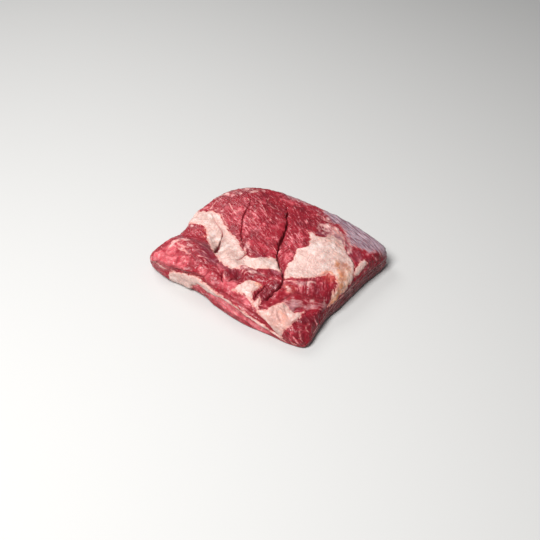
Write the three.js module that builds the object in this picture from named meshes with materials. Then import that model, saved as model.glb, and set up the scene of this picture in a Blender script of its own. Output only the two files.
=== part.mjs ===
// Raw boneless beef brisket: one thick slab of meat and fat, resting on its cut underside.
// Millimetres, +Z up. The origin is at table height under the middle of the slab, whose length runs along X.
// Places below are measured from the crown, and the finished slab is moved over the origin at the end.

import * as THREE from 'three';

// The widest line of the slab seen from above, one list for each side, counter-clockwise:
// x, y, the height of the shoulder there, and the radius of the edge that it rests on
const FRONT_EDGE = [
  [-127, -88, 25, 7], [-99, -97, 35, 9], [-66, -96, 39, 10], [-38, -95.5, 39, 8],
  [-12, -101, 37, 4], [30, -105.5, 34, 3], [68, -103, 28, 3], [94, -102, 21, 3],
];
const RIGHT_EDGE = [
  [114, -95, 15, 4], [113, -73, 18, 5], [110, -44, 24, 5], [113, -6, 28, 4], [116, 40, 30, 4], [121, 75, 29, 6],
];
const BACK_EDGE = [[114, 91, 31, 7], [78, 95, 40, 7], [36, 97, 45.5, 7], [-8, 96, 48, 8], [-42, 92, 50.5, 8]];
const LEFT_EDGE = [
  [-78, 77, 53.5, 8], [-103, 51, 54, 8], [-117, 14, 48.5, 8],
  [-117, -24, 40.5, 8], [-116, -53, 32, 8], [-128, -76, 27, 7],
];
const SIDES = [FRONT_EDGE, RIGHT_EDGE, BACK_EDGE, LEFT_EDGE];

// The crown in the middle of the top, how its height falls off to the shoulders, and the rounding of the shoulders
const CROWN_HEIGHT = 49;
const CROWN_POWER = 2.2;
const SHOULDER_RADIUS = 11;

// Muscles that swell above the slab and hollows that sink into it: middle, half sizes, turn in degrees and rise
const SWELLINGS = [
  { name: 'dome', middle: [-45, 35], half: [48, 38], turn: -35, rise: 8 },
  { name: 'left lobe', middle: [-84, -66], half: [36, 15], turn: -8, rise: 9 },
  { name: 'valley behind the lobe', middle: [-58, -36], half: [40, 11], turn: -48, rise: -8 },
  { name: 'right mound', middle: [62, 8], half: [34, 28], turn: 0, rise: 6 },
  { name: 'ribbed ridge', middle: [76, -40], half: [34, 10], turn: 40, rise: 7 },
  { name: 'hollow before the ridge', middle: [84, -66], half: [30, 9], turn: 48, rise: -4 },
  { name: 'pit at the lobe', middle: [1, -73], half: [9, 6], turn: -20, rise: -4 },
  { name: 'front fin', middle: [27, -84], half: [11, 9], turn: -20, rise: 3 },
];

// Slits between muscles: route over the top, depth, and how far the rounding of each lip reaches.
// The lips fall away ever more steeply towards the bottom of the slit, and each slit runs out at both ends
const SLITS = [
  {
    name: 'main cleft',
    route: [[-25, 70], [-8, 46], [9, 16], [16, -6], [27, -27], [46, -44], [55, -60], [52, -78], [49, -92]],
    depth: 12, lip: 8.5,
  },
  {
    name: 'second cleft',
    route: [[-67, 50], [-57, 30], [-52, 11], [-42, -6], [-31, -22], [-18, -37]],
    depth: 7, lip: 7,
  },
  {
    name: 'crack in the left fat',
    route: [[-70, -17], [-59, -23], [-58, -31], [-51, -45], [-43, -57]],
    depth: 6, lip: 6.5,
  },
  {
    name: 'fold under the ridge',
    route: [[58, -92], [61, -84], [66, -73], [74, -58], [84, -52], [95, -45], [104, -38]],
    depth: 5, lip: 8,
  },
];
const SLIT_SHARPNESS = 2.4;
const SLIT_TAPER = 14;

// Fat lies on the muscle as sheets with eased edges: outline over the top
const FAT_RISE = 1.6;
const FAT_EDGE = 3;
const LEFT_FAT = [
  [-111, -6], [-99, 3], [-83, 3], [-66, -9], [-39, -23], [-10, -42], [8, -40], [28, -28], [45, -43], [22, -52],
  [5, -62], [-14, -71], [-36, -64], [-64, -47], [-77, -33], [-90, -23], [-110, -21],
];
const RIGHT_FAT = [
  [33, 34], [40, 35], [47, 32], [65, 46], [83, 40], [109, 20], [112, -9], [107, -37], [105, -17], [94, -6],
  [84, -15], [76, -35], [52, -50], [43, -26], [41, 1], [48, 9],
];
const FRONT_FIN = [[9, -96], [15, -81], [21, -73], [37, -73], [35, -89], [38, -96]];
const LOWER_FAT = [[50, -98], [58, -94], [68, -74], [87, -77], [92, -65], [101, -74], [92, -89], [92, -97]];
const FAT_SHEETS = [LEFT_FAT, RIGHT_FAT, FRONT_FIN, LOWER_FAT];

// Bulges and grooves that run along the front wall: route as x and height, half width and outward rise
const WALL_BANDS = [
  {
    name: 'underlip of the lobe',
    route: [[-118, 16], [-90, 28], [-60, 34], [-30, 38]],
    halfWidth: 9, rise: 3,
  },
  {
    name: 'crease under the lobe',
    route: [[-112, 8], [-90, 17], [-76, 27], [-45, 30], [-20, 34]],
    halfWidth: 3.5, rise: -2.5,
  },
  {
    name: 'fat seam',
    route: [[-45, 26], [0, 28], [22, 27], [40, 22], [62, 12], [84, 5]],
    halfWidth: 2.5, rise: 1,
  },
  {
    name: 'groove over the seam',
    route: [[-20, 32], [10, 33], [30, 31], [50, 24], [72, 14]],
    halfWidth: 3, rise: -1.5,
  },
];
const WALL_BAND_REACH = 30;

// Vertices gather towards a slit, so that its lips stay round
const GATHER_SHARE = 0.66;
const GATHER_REACH = 10;

// Cells from the crown to the edge, and rows of cells down the wall
const CELLS = 26;
const WALL_ROWS = 11;

const EDGE_KNOTS = SIDES.flat();
const STEPS_PER_KNOT = 40;
const ROUTE_STEPS_PER_POINT = 6;
const { clamp, smoothstep, degToRad } = THREE.MathUtils;

// A point on the closed curve through all edge points, at a position counted in points
function edgeAt(knot) {
  const count = EDGE_KNOTS.length;
  const from = Math.floor(knot);
  const t = knot - from;
  const [a, b, c, d] = [-1, 0, 1, 2].map((step) => EDGE_KNOTS[(from + step + count) % count]);
  return b.map((_, axis) => 0.5 * (
    2 * b[axis]
    + (c[axis] - a[axis]) * t
    + (2 * a[axis] - 5 * b[axis] + 4 * c[axis] - d[axis]) * t ** 2
    + (3 * b[axis] - a[axis] - 3 * c[axis] + d[axis]) * t ** 3
  ));
}

// Edge points spaced evenly along each side, as many on one side as on another
function evenEdge(perSide) {
  const places = [];
  let start = 0;
  for (const side of SIDES) {
    const steps = side.length * STEPS_PER_KNOT;
    const fine = Array.from({ length: steps + 1 }, (_, step) => edgeAt(start + step / STEPS_PER_KNOT));
    const travelled = [0];
    for (let step = 1; step <= steps; step++) {
      const [x, y] = fine[step];
      travelled.push(travelled[step - 1] + Math.hypot(x - fine[step - 1][0], y - fine[step - 1][1]));
    }
    for (let place = 0; place < perSide; place++) {
      const wanted = (place / perSide) * travelled[steps];
      const step = travelled.findIndex((length) => length > wanted) - 1;
      const part = (wanted - travelled[step]) / (travelled[step + 1] - travelled[step]);
      places.push(edgeAt(start + (step + part) / STEPS_PER_KNOT));
    }
    start += side.length;
  }
  return places;
}

// A smooth open line through a few points, as short straight steps
function smoothRoute(points) {
  const curve = new THREE.SplineCurve(points.map(([u, v]) => new THREE.Vector2(u, v)));
  return curve.getPoints(points.length * ROUTE_STEPS_PER_POINT).map((point) => point.toArray());
}

// The nearest place of a line to a point: its distance, where it is, and how much line lies on each side of it
function nearestOn(route, u, v) {
  let best = { gap: Infinity };
  let passed = 0;
  for (let step = 1; step < route.length; step++) {
    const [u0, v0] = route[step - 1];
    const [du, dv] = [route[step][0] - u0, route[step][1] - v0];
    const run = Math.hypot(du, dv);
    const t = clamp(((u - u0) * du + (v - v0) * dv) / run ** 2, 0, 1);
    const gap = Math.hypot(u - u0 - t * du, v - v0 - t * dv);
    if (gap < best.gap) {
      best = { gap, u: u0 + t * du, v: v0 + t * dv, before: passed + t * run };
    }
    passed += run;
  }
  best.after = passed - best.before;
  return best;
}

// Full size along a line, falling smoothly to nothing at both of its ends
function taper(near, reach) {
  return smoothstep(near.before, 0, reach) * smoothstep(near.after, 0, reach);
}

// Distance to a closed outline, positive inside it
function distanceInside(outline, u, v) {
  let inside = false;
  for (let step = 0; step < outline.length; step++) {
    const [u0, v0] = outline[step];
    const [u1, v1] = outline[(step + 1) % outline.length];
    const crossesLevel = v0 > v !== v1 > v;
    if (crossesLevel && u < u0 + ((v - v0) / (v1 - v0)) * (u1 - u0)) {
      inside = !inside;
    }
  }
  const { gap } = nearestOn([...outline, outline[0]], u, v);
  return inside ? gap : -gap;
}

function swellingAt(x, y) {
  let rise = 0;
  for (const { middle, half, turn, rise: height } of SWELLINGS) {
    const angle = degToRad(turn);
    const [dx, dy] = [x - middle[0], y - middle[1]];
    const along = (dx * Math.cos(angle) + dy * Math.sin(angle)) / half[0];
    const across = (dy * Math.cos(angle) - dx * Math.sin(angle)) / half[1];
    rise += height * Math.exp(-(along ** 2) - across ** 2);
  }
  return rise;
}

// Depth below the lips, which curve over into the slit
function slitDepthAt(x, y) {
  let depth = 0;
  for (const slit of SLITS) {
    const near = nearestOn(slit.route, x, y);
    const inside = Math.max(1 - near.gap / slit.lip, 0);
    depth = Math.max(depth, slit.depth * inside ** SLIT_SHARPNESS * taper(near, SLIT_TAPER));
  }
  return depth;
}

function fatRiseAt(x, y) {
  const deepest = Math.max(...FAT_SHEETS.map((sheet) => distanceInside(sheet, x, y)));
  return FAT_RISE * smoothstep(deepest, 0, FAT_EDGE);
}

function wallReliefAt(x, z) {
  let rise = 0;
  for (const band of WALL_BANDS) {
    const near = nearestOn(band.route, x, z);
    rise += band.rise * Math.exp(-((near.gap / band.halfWidth) ** 2)) * taper(near, WALL_BAND_REACH);
  }
  return rise;
}

for (const line of [...SLITS, ...WALL_BANDS]) {
  line.route = smoothRoute(line.route);
}

// Moves a place of the plan towards the slits near it
function gatherAtSlits(x, y) {
  for (const slit of SLITS) {
    const near = nearestOn(slit.route, x, y);
    const pull = GATHER_SHARE * Math.exp(-((near.gap / GATHER_REACH) ** 2)) * taper(near, SLIT_TAPER);
    x += (near.u - x) * pull;
    y += (near.v - y) * pull;
  }
  return [x, y];
}

// A point of the top, at a share of the way from the crown out to an edge point
function topPoint([edgeX, edgeY, shoulder], share) {
  const reach = Math.hypot(edgeX, edgeY);
  const roundedOff = SHOULDER_RADIUS * (1 - Math.SQRT1_2);
  const out = share * (1 - roundedOff / reach);
  const inset = (1 - out) * reach;
  const overEdge = Math.max(SHOULDER_RADIUS - inset, 0);
  const drop = SHOULDER_RADIUS - Math.sqrt(SHOULDER_RADIUS ** 2 - overEdge ** 2);
  const base = CROWN_HEIGHT + (shoulder - CROWN_HEIGHT) * out ** CROWN_POWER - drop;
  const [x, y] = share < 1 ? gatherAtSlits(edgeX * out, edgeY * out) : [edgeX * out, edgeY * out];
  return [x, y, base + swellingAt(x, y) + fatRiseAt(x, y) - slitDepthAt(x, y)];
}

// The wall below an edge point, from half way round the shoulder to the table
function wallPoints([edgeX, edgeY, shoulder, foot]) {
  const reach = Math.hypot(edgeX, edgeY);
  const [inX, inY] = [-edgeX / reach, -edgeY / reach];
  const height = shoulder + swellingAt(edgeX, edgeY);
  const shoulderRun = (SHOULDER_RADIUS * Math.PI) / 4;
  const straightRun = height - SHOULDER_RADIUS - foot;
  const footRun = (foot * Math.PI) / 2;
  const points = [];
  for (let row = 1; row <= WALL_ROWS; row++) {
    const run = (row / WALL_ROWS) * (shoulderRun + straightRun + footRun);
    const shoulderTurn = Math.min(run / SHOULDER_RADIUS + Math.PI / 4, Math.PI / 2);
    const down = clamp(run - shoulderRun, 0, straightRun);
    const footTurn = clamp((run - shoulderRun - straightRun) / foot, 0, Math.PI / 2);
    const z = height - SHOULDER_RADIUS * (1 - Math.cos(shoulderTurn)) - down - foot * Math.sin(footTurn);
    const clearOfFloor = smoothstep(z, 0, foot) * (inY > 0 ? inY : 0);
    const inset = SHOULDER_RADIUS * (1 - Math.sin(shoulderTurn)) + foot * (1 - Math.cos(footTurn))
      - wallReliefAt(edgeX, z) * clearOfFloor;
    points.push([edgeX + inX * inset, edgeY + inY * inset, row < WALL_ROWS ? Math.max(z, 0) : 0]);
  }
  return points;
}

// Closed mesh: rings of square cells over the top, rows down the wall, and a flat underside
function slabGeometry() {
  const side = 2 * CELLS;
  const width = side + 1;
  const points = [];
  const faces = [];
  const edges = new Map();
  for (let ring = 1; ring <= CELLS; ring++) {
    edges.set(ring, evenEdge(2 * ring));
  }

  const ringPlaces = (ring) => {
    const places = [];
    for (let step = 0; step < 2 * ring; step++) {
      places[step] = [step - ring, -ring];
      places[2 * ring + step] = [ring, step - ring];
      places[4 * ring + step] = [ring - step, ring];
      places[6 * ring + step] = [-ring, ring - step];
    }
    return places.map(([column, row]) => (row + CELLS) * width + column + CELLS);
  };

  points[CELLS * width + CELLS] = topPoint(edgeAt(0), 0);
  for (let ring = 1; ring <= CELLS; ring++) {
    ringPlaces(ring).forEach((place, step) => {
      points[place] = topPoint(edges.get(ring)[step], ring / CELLS);
    });
  }
  for (let row = 0; row < side; row++) {
    for (let column = 0; column < side; column++) {
      const a = row * width + column;
      const [b, c, d] = [a + 1, a + width + 1, a + width];
      const risingDiagonal = (row < CELLS) === (column < CELLS);
      faces.push(...(risingDiagonal ? [a, b, c, a, c, d] : [a, b, d, b, c, d]));
    }
  }

  const around = edges.get(CELLS).length;
  let upper = ringPlaces(CELLS);
  const columns = edges.get(CELLS).map(wallPoints);
  for (let row = 0; row < WALL_ROWS; row++) {
    const lower = columns.map((column) => points.push(column[row]) - 1);
    for (let step = 0; step < around; step++) {
      const next = (step + 1) % around;
      faces.push(upper[step], lower[step], lower[next], upper[step], lower[next], upper[next]);
    }
    upper = lower;
  }
  const outline = upper.map((place) => new THREE.Vector2(points[place][0], points[place][1]));
  for (const [a, b, c] of THREE.ShapeUtils.triangulateShape(outline, [])) {
    faces.push(upper[a], upper[c], upper[b]);
  }

  const geometry = new THREE.BufferGeometry();
  geometry.setAttribute('position', new THREE.Float32BufferAttribute(points.flat(), 3));
  geometry.setIndex(faces);
  geometry.computeBoundingBox();
  const middle = geometry.boundingBox.getCenter(new THREE.Vector3());
  geometry.translate(-middle.x, -middle.y, 0);
  geometry.computeVertexNormals();
  return geometry;
}

const rawBeef = new THREE.MeshStandardMaterial({
  name: 'raw_beef', color: 0xa63a42, roughness: 0.42, metalness: 0,
});

const brisket = new THREE.Mesh(slabGeometry(), rawBeef);
brisket.name = 'brisket';

const model = new THREE.Group();
model.add(brisket);

export default model;
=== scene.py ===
"""Raw boneless beef brisket: one slab of muscle and fat, modelled to the fibre and finished wet and fresh."""
import itertools
import math

import bpy
import numpy as np
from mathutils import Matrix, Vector


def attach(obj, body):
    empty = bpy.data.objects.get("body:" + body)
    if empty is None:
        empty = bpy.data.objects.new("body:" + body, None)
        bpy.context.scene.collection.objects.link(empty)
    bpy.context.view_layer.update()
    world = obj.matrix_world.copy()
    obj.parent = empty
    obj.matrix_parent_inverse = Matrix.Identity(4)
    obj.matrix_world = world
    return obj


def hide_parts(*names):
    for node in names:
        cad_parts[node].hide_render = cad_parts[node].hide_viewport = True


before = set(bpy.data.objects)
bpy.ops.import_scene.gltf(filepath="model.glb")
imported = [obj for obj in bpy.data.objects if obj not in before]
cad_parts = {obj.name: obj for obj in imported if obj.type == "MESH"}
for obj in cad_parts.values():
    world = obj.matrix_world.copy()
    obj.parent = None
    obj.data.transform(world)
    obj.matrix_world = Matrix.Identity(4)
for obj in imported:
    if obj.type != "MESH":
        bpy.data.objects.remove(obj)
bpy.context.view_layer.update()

# All sizes below are in millimetres, and places are measured from the crown of the slab, as in the solid
MM = 0.001

# The widest line of the slab seen from above, one list for each side, counter-clockwise:
# x, y, the height of the shoulder there, and the radius of the edge that it rests on
FRONT_EDGE = [
    (-127, -88, 25, 7), (-99, -97, 35, 9), (-66, -96, 39, 10), (-38, -95.5, 39, 8), (-12, -101, 37, 4),
    (30, -105.5, 34, 3), (68, -103, 28, 3), (94, -102, 21, 3),
]
RIGHT_EDGE = [
    (114, -95, 15, 4), (113, -73, 18, 5), (110, -44, 24, 5), (113, -6, 28, 4), (116, 40, 30, 4),
    (121, 75, 29, 6),
]
BACK_EDGE = [(114, 91, 31, 7), (78, 95, 40, 7), (36, 97, 45.5, 7), (-8, 96, 48, 8), (-42, 92, 50.5, 8)]
LEFT_EDGE = [
    (-78, 77, 53.5, 8), (-103, 51, 54, 8), (-117, 14, 48.5, 8), (-117, -24, 40.5, 8), (-116, -53, 32, 8),
    (-128, -76, 27, 7),
]
SIDES = (FRONT_EDGE, RIGHT_EDGE, BACK_EDGE, LEFT_EDGE)
# The way out of each side as seen from above, and the marks of the two faces that are no side
OUTWARD = ((0, -1), (1, 0), (0, 1), (-1, 0))
TOP, UNDERSIDE = -1, -2

# The crown's height, how late the top falls towards the edge, and the roundness of the shoulder
CROWN_HEIGHT = 49
CROWN_POWER = 2.2
SHOULDER_RADIUS = 11

# Muscles that swell above the slab and hollows that sink into it: middle, half sizes, turn in degrees, rise
SWELLINGS = {
    "dome": (-45, 35, 48, 38, -35, 8),
    "left lobe": (-84, -66, 36, 15, -8, 9),
    "valley behind the lobe": (-58, -36, 40, 11, -48, -8),
    "right mound": (62, 8, 34, 28, 0, 6),
    "ribbed ridge": (76, -40, 34, 10, 40, 7),
    "hollow before the ridge": (84, -66, 30, 9, 48, -4),
    "pit at the lobe": (1, -73, 9, 6, -20, -4),
    "front fin": (27, -84, 11, 9, -20, 3),
}

# Slits cut between muscles: route over the top with the half width of the gap, depth, and drop of the lips
SLITS = {
    "main cleft": ([
        (-20, 64, 0.0), (-14, 56, 0.1), (-8, 46, 0.1), (3, 30, 0.3), (9, 16, 0.8), (12, 6, 1.2),
        (16, -6, 0.9), (22, -19, 0.2), (27, -27, 0.1), (37, -37, 0.1), (46, -44, 0.0), (52, -51, 0.1),
        (55, -60, 0.2), (54, -68, 0.3), (52, -79, 0.3), (49, -90, 0.0)], 8, 1.6),
    "second cleft": ([
        (-66, 49, 0.0), (-57, 30, 0.0), (-52, 11, 0.2), (-42, -6, 0.1), (-31, -22, 0.2), (-22, -30, 0.1),
        (-18, -37, 0.0)],
        3.5, 1.0),
    "crack in the left fat": ([
        (-66, -18, 0.0), (-61, -22, 0.0), (-58, -27, 0.2), (-57, -32, 0.5), (-54, -38, 1.2),
        (-50, -47, 2.2), (-44, -60, 2.0)],
        5, 0.5),
    "slit of the tongue": ([(43, -65, 0.1), (40, -76, 0.3), (38, -86, 0.2), (41, -95, 0.0)], 4, 1.2),
    "nick in the right fat": ([
        (84, 40, 0.0), (92, 36, 0.1), (99, 32, 0.3), (104, 29, 0.6), (107, 25, 0.3)], 3, 0.4),
    "right side of the nodule": ([(-20, -77, 0.1), (-13, -86, 0.2), (-4, -94, 0.1)], 4, 1.6),
    "over the right flesh": ([(-6, -92, 0.0), (-2, -86, 0.2), (3, -78, 0.2), (9, -73, 0.1)], 3, 1.2),
    "pit at the lobe": ([(-6, -66, 0.1), (0, -71, 0.6), (5, -74, 0.3)], 4, 1.0),
}
# Width of a gap's steep wall, the painted shade beside it, and how far its rounded lips reach
GAP_WALL = 0.8
HALO_SHARE = 0.35
HALO_REACH = 1.6
LIP_REACH = 6
# How a slit's ends run out, and how strongly and how far it gathers the mesh
SLIT_TAPER = 8
GATHER_SHARE = 0.66
GATHER_REACH = 8
SLIT_REACH = 30

# Below here, places are on the unfolded slab: the top as seen from above, each wall laid flat beside its
# edge, and the underside further off to the right
UNDERSIDE_PLACE = (400, 0)

# Sheets of fat: rise above the muscle, and outline
FAT_SHEETS = {
    "left fat": (0.4, [
        (-124, -16), (-120, -8), (-111, -3), (-99, 4), (-92, 4), (-83, 3), (-66, -9), (-52, -17),
        (-39, -23), (-29, -29), (-20, -36), (-10, -42), (-1, -44), (8, -40), (15, -34), (21, -30),
        (28, -28), (36, -36), (45, -43), (33, -47), (22, -52), (18, -59), (10, -61), (5, -62), (-1, -65),
        (-6, -68), (-14, -71), (-25, -69), (-36, -64), (-49, -57), (-56, -52), (-64, -47), (-71, -42),
        (-77, -33), (-83, -28), (-90, -24), (-97, -24), (-104, -26), (-114, -26)]),
    "right fat": (0.9, [
        (33, 34), (37, 39), (40, 36), (47, 37), (53, 43), (52, 51), (46, 58), (42, 66), (46, 73), (54, 73),
        (62, 69), (70, 65), (76, 59), (80, 52), (83, 45), (87, 40), (91, 36), (98, 33), (103, 30),
        (107, 24), (110, 17), (113, 10), (113, 5), (115, -4), (115, -12), (113, -18), (114, -26),
        (113, -32), (108, -41), (105, -30), (105, -24), (105, -17), (103, -11), (99, -7), (94, -6),
        (89, -7), (84, -15), (80, -24), (76, -35), (69, -40), (60, -44), (55, -51), (52, -50), (49, -45),
        (46, -40), (44, -33), (43, -26), (45, -21), (43, -15), (41, -7), (40, -3), (41, 1), (46, 6),
        (48, 9), (45, 16), (42, 24), (37, 29)]),
    "nick at the right edge": (0.6, [
        (106, 31), (105, 37), (109, 45), (113, 47), (114, 38), (114, 28), (113, 20), (111, 14), (108.5, 20),
        (107, 26)]),
    "front fin": (0.9, [
        (9, -96), (13, -88), (15, -81), (18, -77), (21, -73), (26, -72), (32, -72), (37, -73), (37, -78),
        (35, -83), (35, -89), (38, -96), (30, -96), (21, -96)]),
    "strip beside the tongue": (0.8, [
        (42, -98), (41, -92), (43, -87), (46, -88), (48, -93), (50, -98), (47, -101)]),
    "lower fat": (1.0, [
        (49, -99), (54, -98), (58, -94), (60, -86), (64, -79), (68, -74), (74, -71), (81, -76), (87, -78),
        (89, -72), (90, -67), (94, -66), (98, -70), (96, -77), (94, -84), (92, -89), (93, -94), (91, -98),
        (87, -103), (83, -112), (76, -113), (69, -110), (62, -106), (55, -103)]),
    "strip under the lobe": (1.2, [
        (-90, -142), (-86, -130), (-87, -118), (-85, -108), (-77, -106), (-65, -102.5), (-53, -101),
        (-43, -99.5), (-36, -100.5), (-26, -103), (-14, -105), (-4, -108), (-14, -113), (-24, -114),
        (-35, -113), (-43, -111.5), (-50, -117), (-56, -126), (-62, -142)]),
    "curled flap": (1.2, [(-11, -52), (-17, -47), (-18, -41), (-14, -36), (-10.5, -37), (-10, -45)]),
    "patch over the left shoulder": (1.2, [
        (-112, -16), (-111, -6), (-116, 2), (-124, 6), (-133, 3), (-137, -6), (-134, -17), (-126, -24),
        (-119, -22)]),
    "left wall fat": (1.2, [
        (-140, 60), (-131, 52), (-133, 38), (-141, 28), (-152, 26), (-160, 36), (-160, 58), (-150, 66)]),
    "back wall fat": (1.4, [
        (-70, 118), (-52, 110), (-34, 112), (-20, 120), (-6, 122), (2, 130), (-8, 138), (-30, 141),
        (-58, 138)]),
    "right end of the back": (1.0, [(62, 112), (80, 106), (96, 108), (104, 116), (92, 124), (72, 126)]),
    "fat cap underneath": (0.6, [
        (306, -58), (322, -74), (350, -78), (378, -70), (400, -80), (432, -84), (462, -72), (484, -78),
        (500, -52), (494, -20), (502, 12), (496, 44), (476, 58), (450, 52), (432, 70), (400, 78), (372, 68),
        (350, 74), (326, 54), (312, 30), (318, 4), (304, -24)]),
}
# Seams of fat that run between muscles: route with half width, and rise
FAT_SEAMS = {
    "front seam": (1.2, [
        (-38, -101, 1.6), (-24, -104, 2.4), (-12, -106, 2.6), (-1, -107.5, 3.0), (12, -109, 2.5),
        (24, -110.5, 2.2), (36, -112, 2.7), (48, -114, 2.2), (57, -114, 2.5), (67, -115.5, 1.9),
        (78, -115, 2.3), (88, -113.5, 1.4)]),
    "lip of the lobe": (0.6, [
        (-121, -97, 0.6), (-112, -100, 1.1), (-101, -104, 1.6), (-92, -106.5, 1.4), (-84, -108, 0.6)]),
    "edge of the fin": (0.8, [
        (16, -96, 0.8), (26, -95.5, 1.2), (36, -96.5, 1.5), (48, -100, 1.6), (56, -102.5, 1.8),
        (64, -105, 1.6)]),
    "base of the front corner": (0.3, [
        (72, -118, 0.5), (86, -114, 0.8), (96, -111, 0.8), (106, -106, 0.4)]),
    "back seam": (1.0, [
        (-84, 104, 1.2), (-56, 104, 2.0), (-28, 107, 2.6), (0, 112, 2.0), (30, 116, 2.8), (58, 114, 2.0),
        (84, 112, 2.4), (108, 106, 1.2)]),
    "lower back seam": (0.8, [(-10, 128, 1.0), (20, 128, 1.8), (50, 126, 1.4), (76, 122, 1.0)]),
    "left seam": (1.0, [
        (-134, 66, 1.2), (-142, 36, 2.0), (-139, 8, 2.4), (-131, -20, 2.0), (-132, -50, 2.4),
        (-137, -72, 1.4)]),
}
# Width over which fat thins out at its edge, and how far from an edge distances are measured
FAT_EDGE = 2.2
SHEET_REACH = 30.0
# How far inside its edge fat counts as thick, and where it is thinner, so that the muscle shows through
THICK_FAT = 8
THIN_FAT = [
    (60, 60, 18, 13, -20, 6.6), (48, 68, 9, 8, 0, 2.0), (84, 48, 9, 7, -30, 5.5), (80, -66, 9, 5, 30, 5.5),
    (77, -74, 8, 5, 20, 3.5), (93, -70, 5, 5, 0, 4.0), (4, -61, 14, 3, 5, 4.0),
]

# Bulges and grooves along the front wall, as in the solid: route as x and height, half width, outward rise
WALL_BANDS = {
    "underlip of the lobe": ([(-118, 16), (-90, 28), (-60, 34), (-30, 38)], 9, 3),
    "crease under the lobe": ([(-112, 8), (-90, 17), (-76, 27), (-45, 30), (-20, 34)], 3.5, -2.5),
    "fat seam": ([(-45, 26), (0, 28), (22, 27), (40, 22), (62, 12), (84, 5)], 2.5, 1),
    "groove over the seam": ([(-20, 32), (10, 33), (30, 31), (50, 24), (72, 14)], 3, -1.5),
}
WALL_BAND_REACH = 30

# Small rounded muscles: middle, half sizes, turn in degrees, rise
BUMPS = [
    (-113, -91, 12, 9, 10, 2.6), (-90, -96, 12, 6, 0, 2.2), (-71, -89, 7, 6, 0, 2.2),
    (-96, -84, 8, 5, 0, 1.6), (-84, -82, 6, 5, 0, 1.2), (-60, -94, 8, 5, 0, 1.6),
    (-22, -92, 10, 8, -10, 3.4), (-40, -88, 7, 6, 20, 2.0), (-30, -79, 8, 4.5, 0, 1.8),
    (-13, -79, 6, 7, 0, 1.8), (5, -90, 13, 5, 5, 1.8), (65, -58, 7, 3, 20, 1.0), (-50, -83, 7, 5, 0, 1.4),
    (-98, -70, 8, 5, -20, 1.4), (-84, -69, 8, 5, 10, 1.3), (-76, -76, 6, 4, 0, 1.0),
    (-12, -62, 7, 3, -15, 0.9), (12, -66, 10, 4, 0, 1.8), (28, -64, 12, 5, 10, 1.6),
    (100, -98, 10, 7, 10, 2.0), (104, -86, 6, 6, 0, 1.4), (86, -42, 9, 5, -60, 1.2),
    (96, -30, 7, 7, 0, 1.2), (58, -70, 4, 10, -25, 1.4), (-20, 73, 9, 5, 30, 1.3), (-12, 77, 6, 3, 0, 1.0),
]
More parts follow.
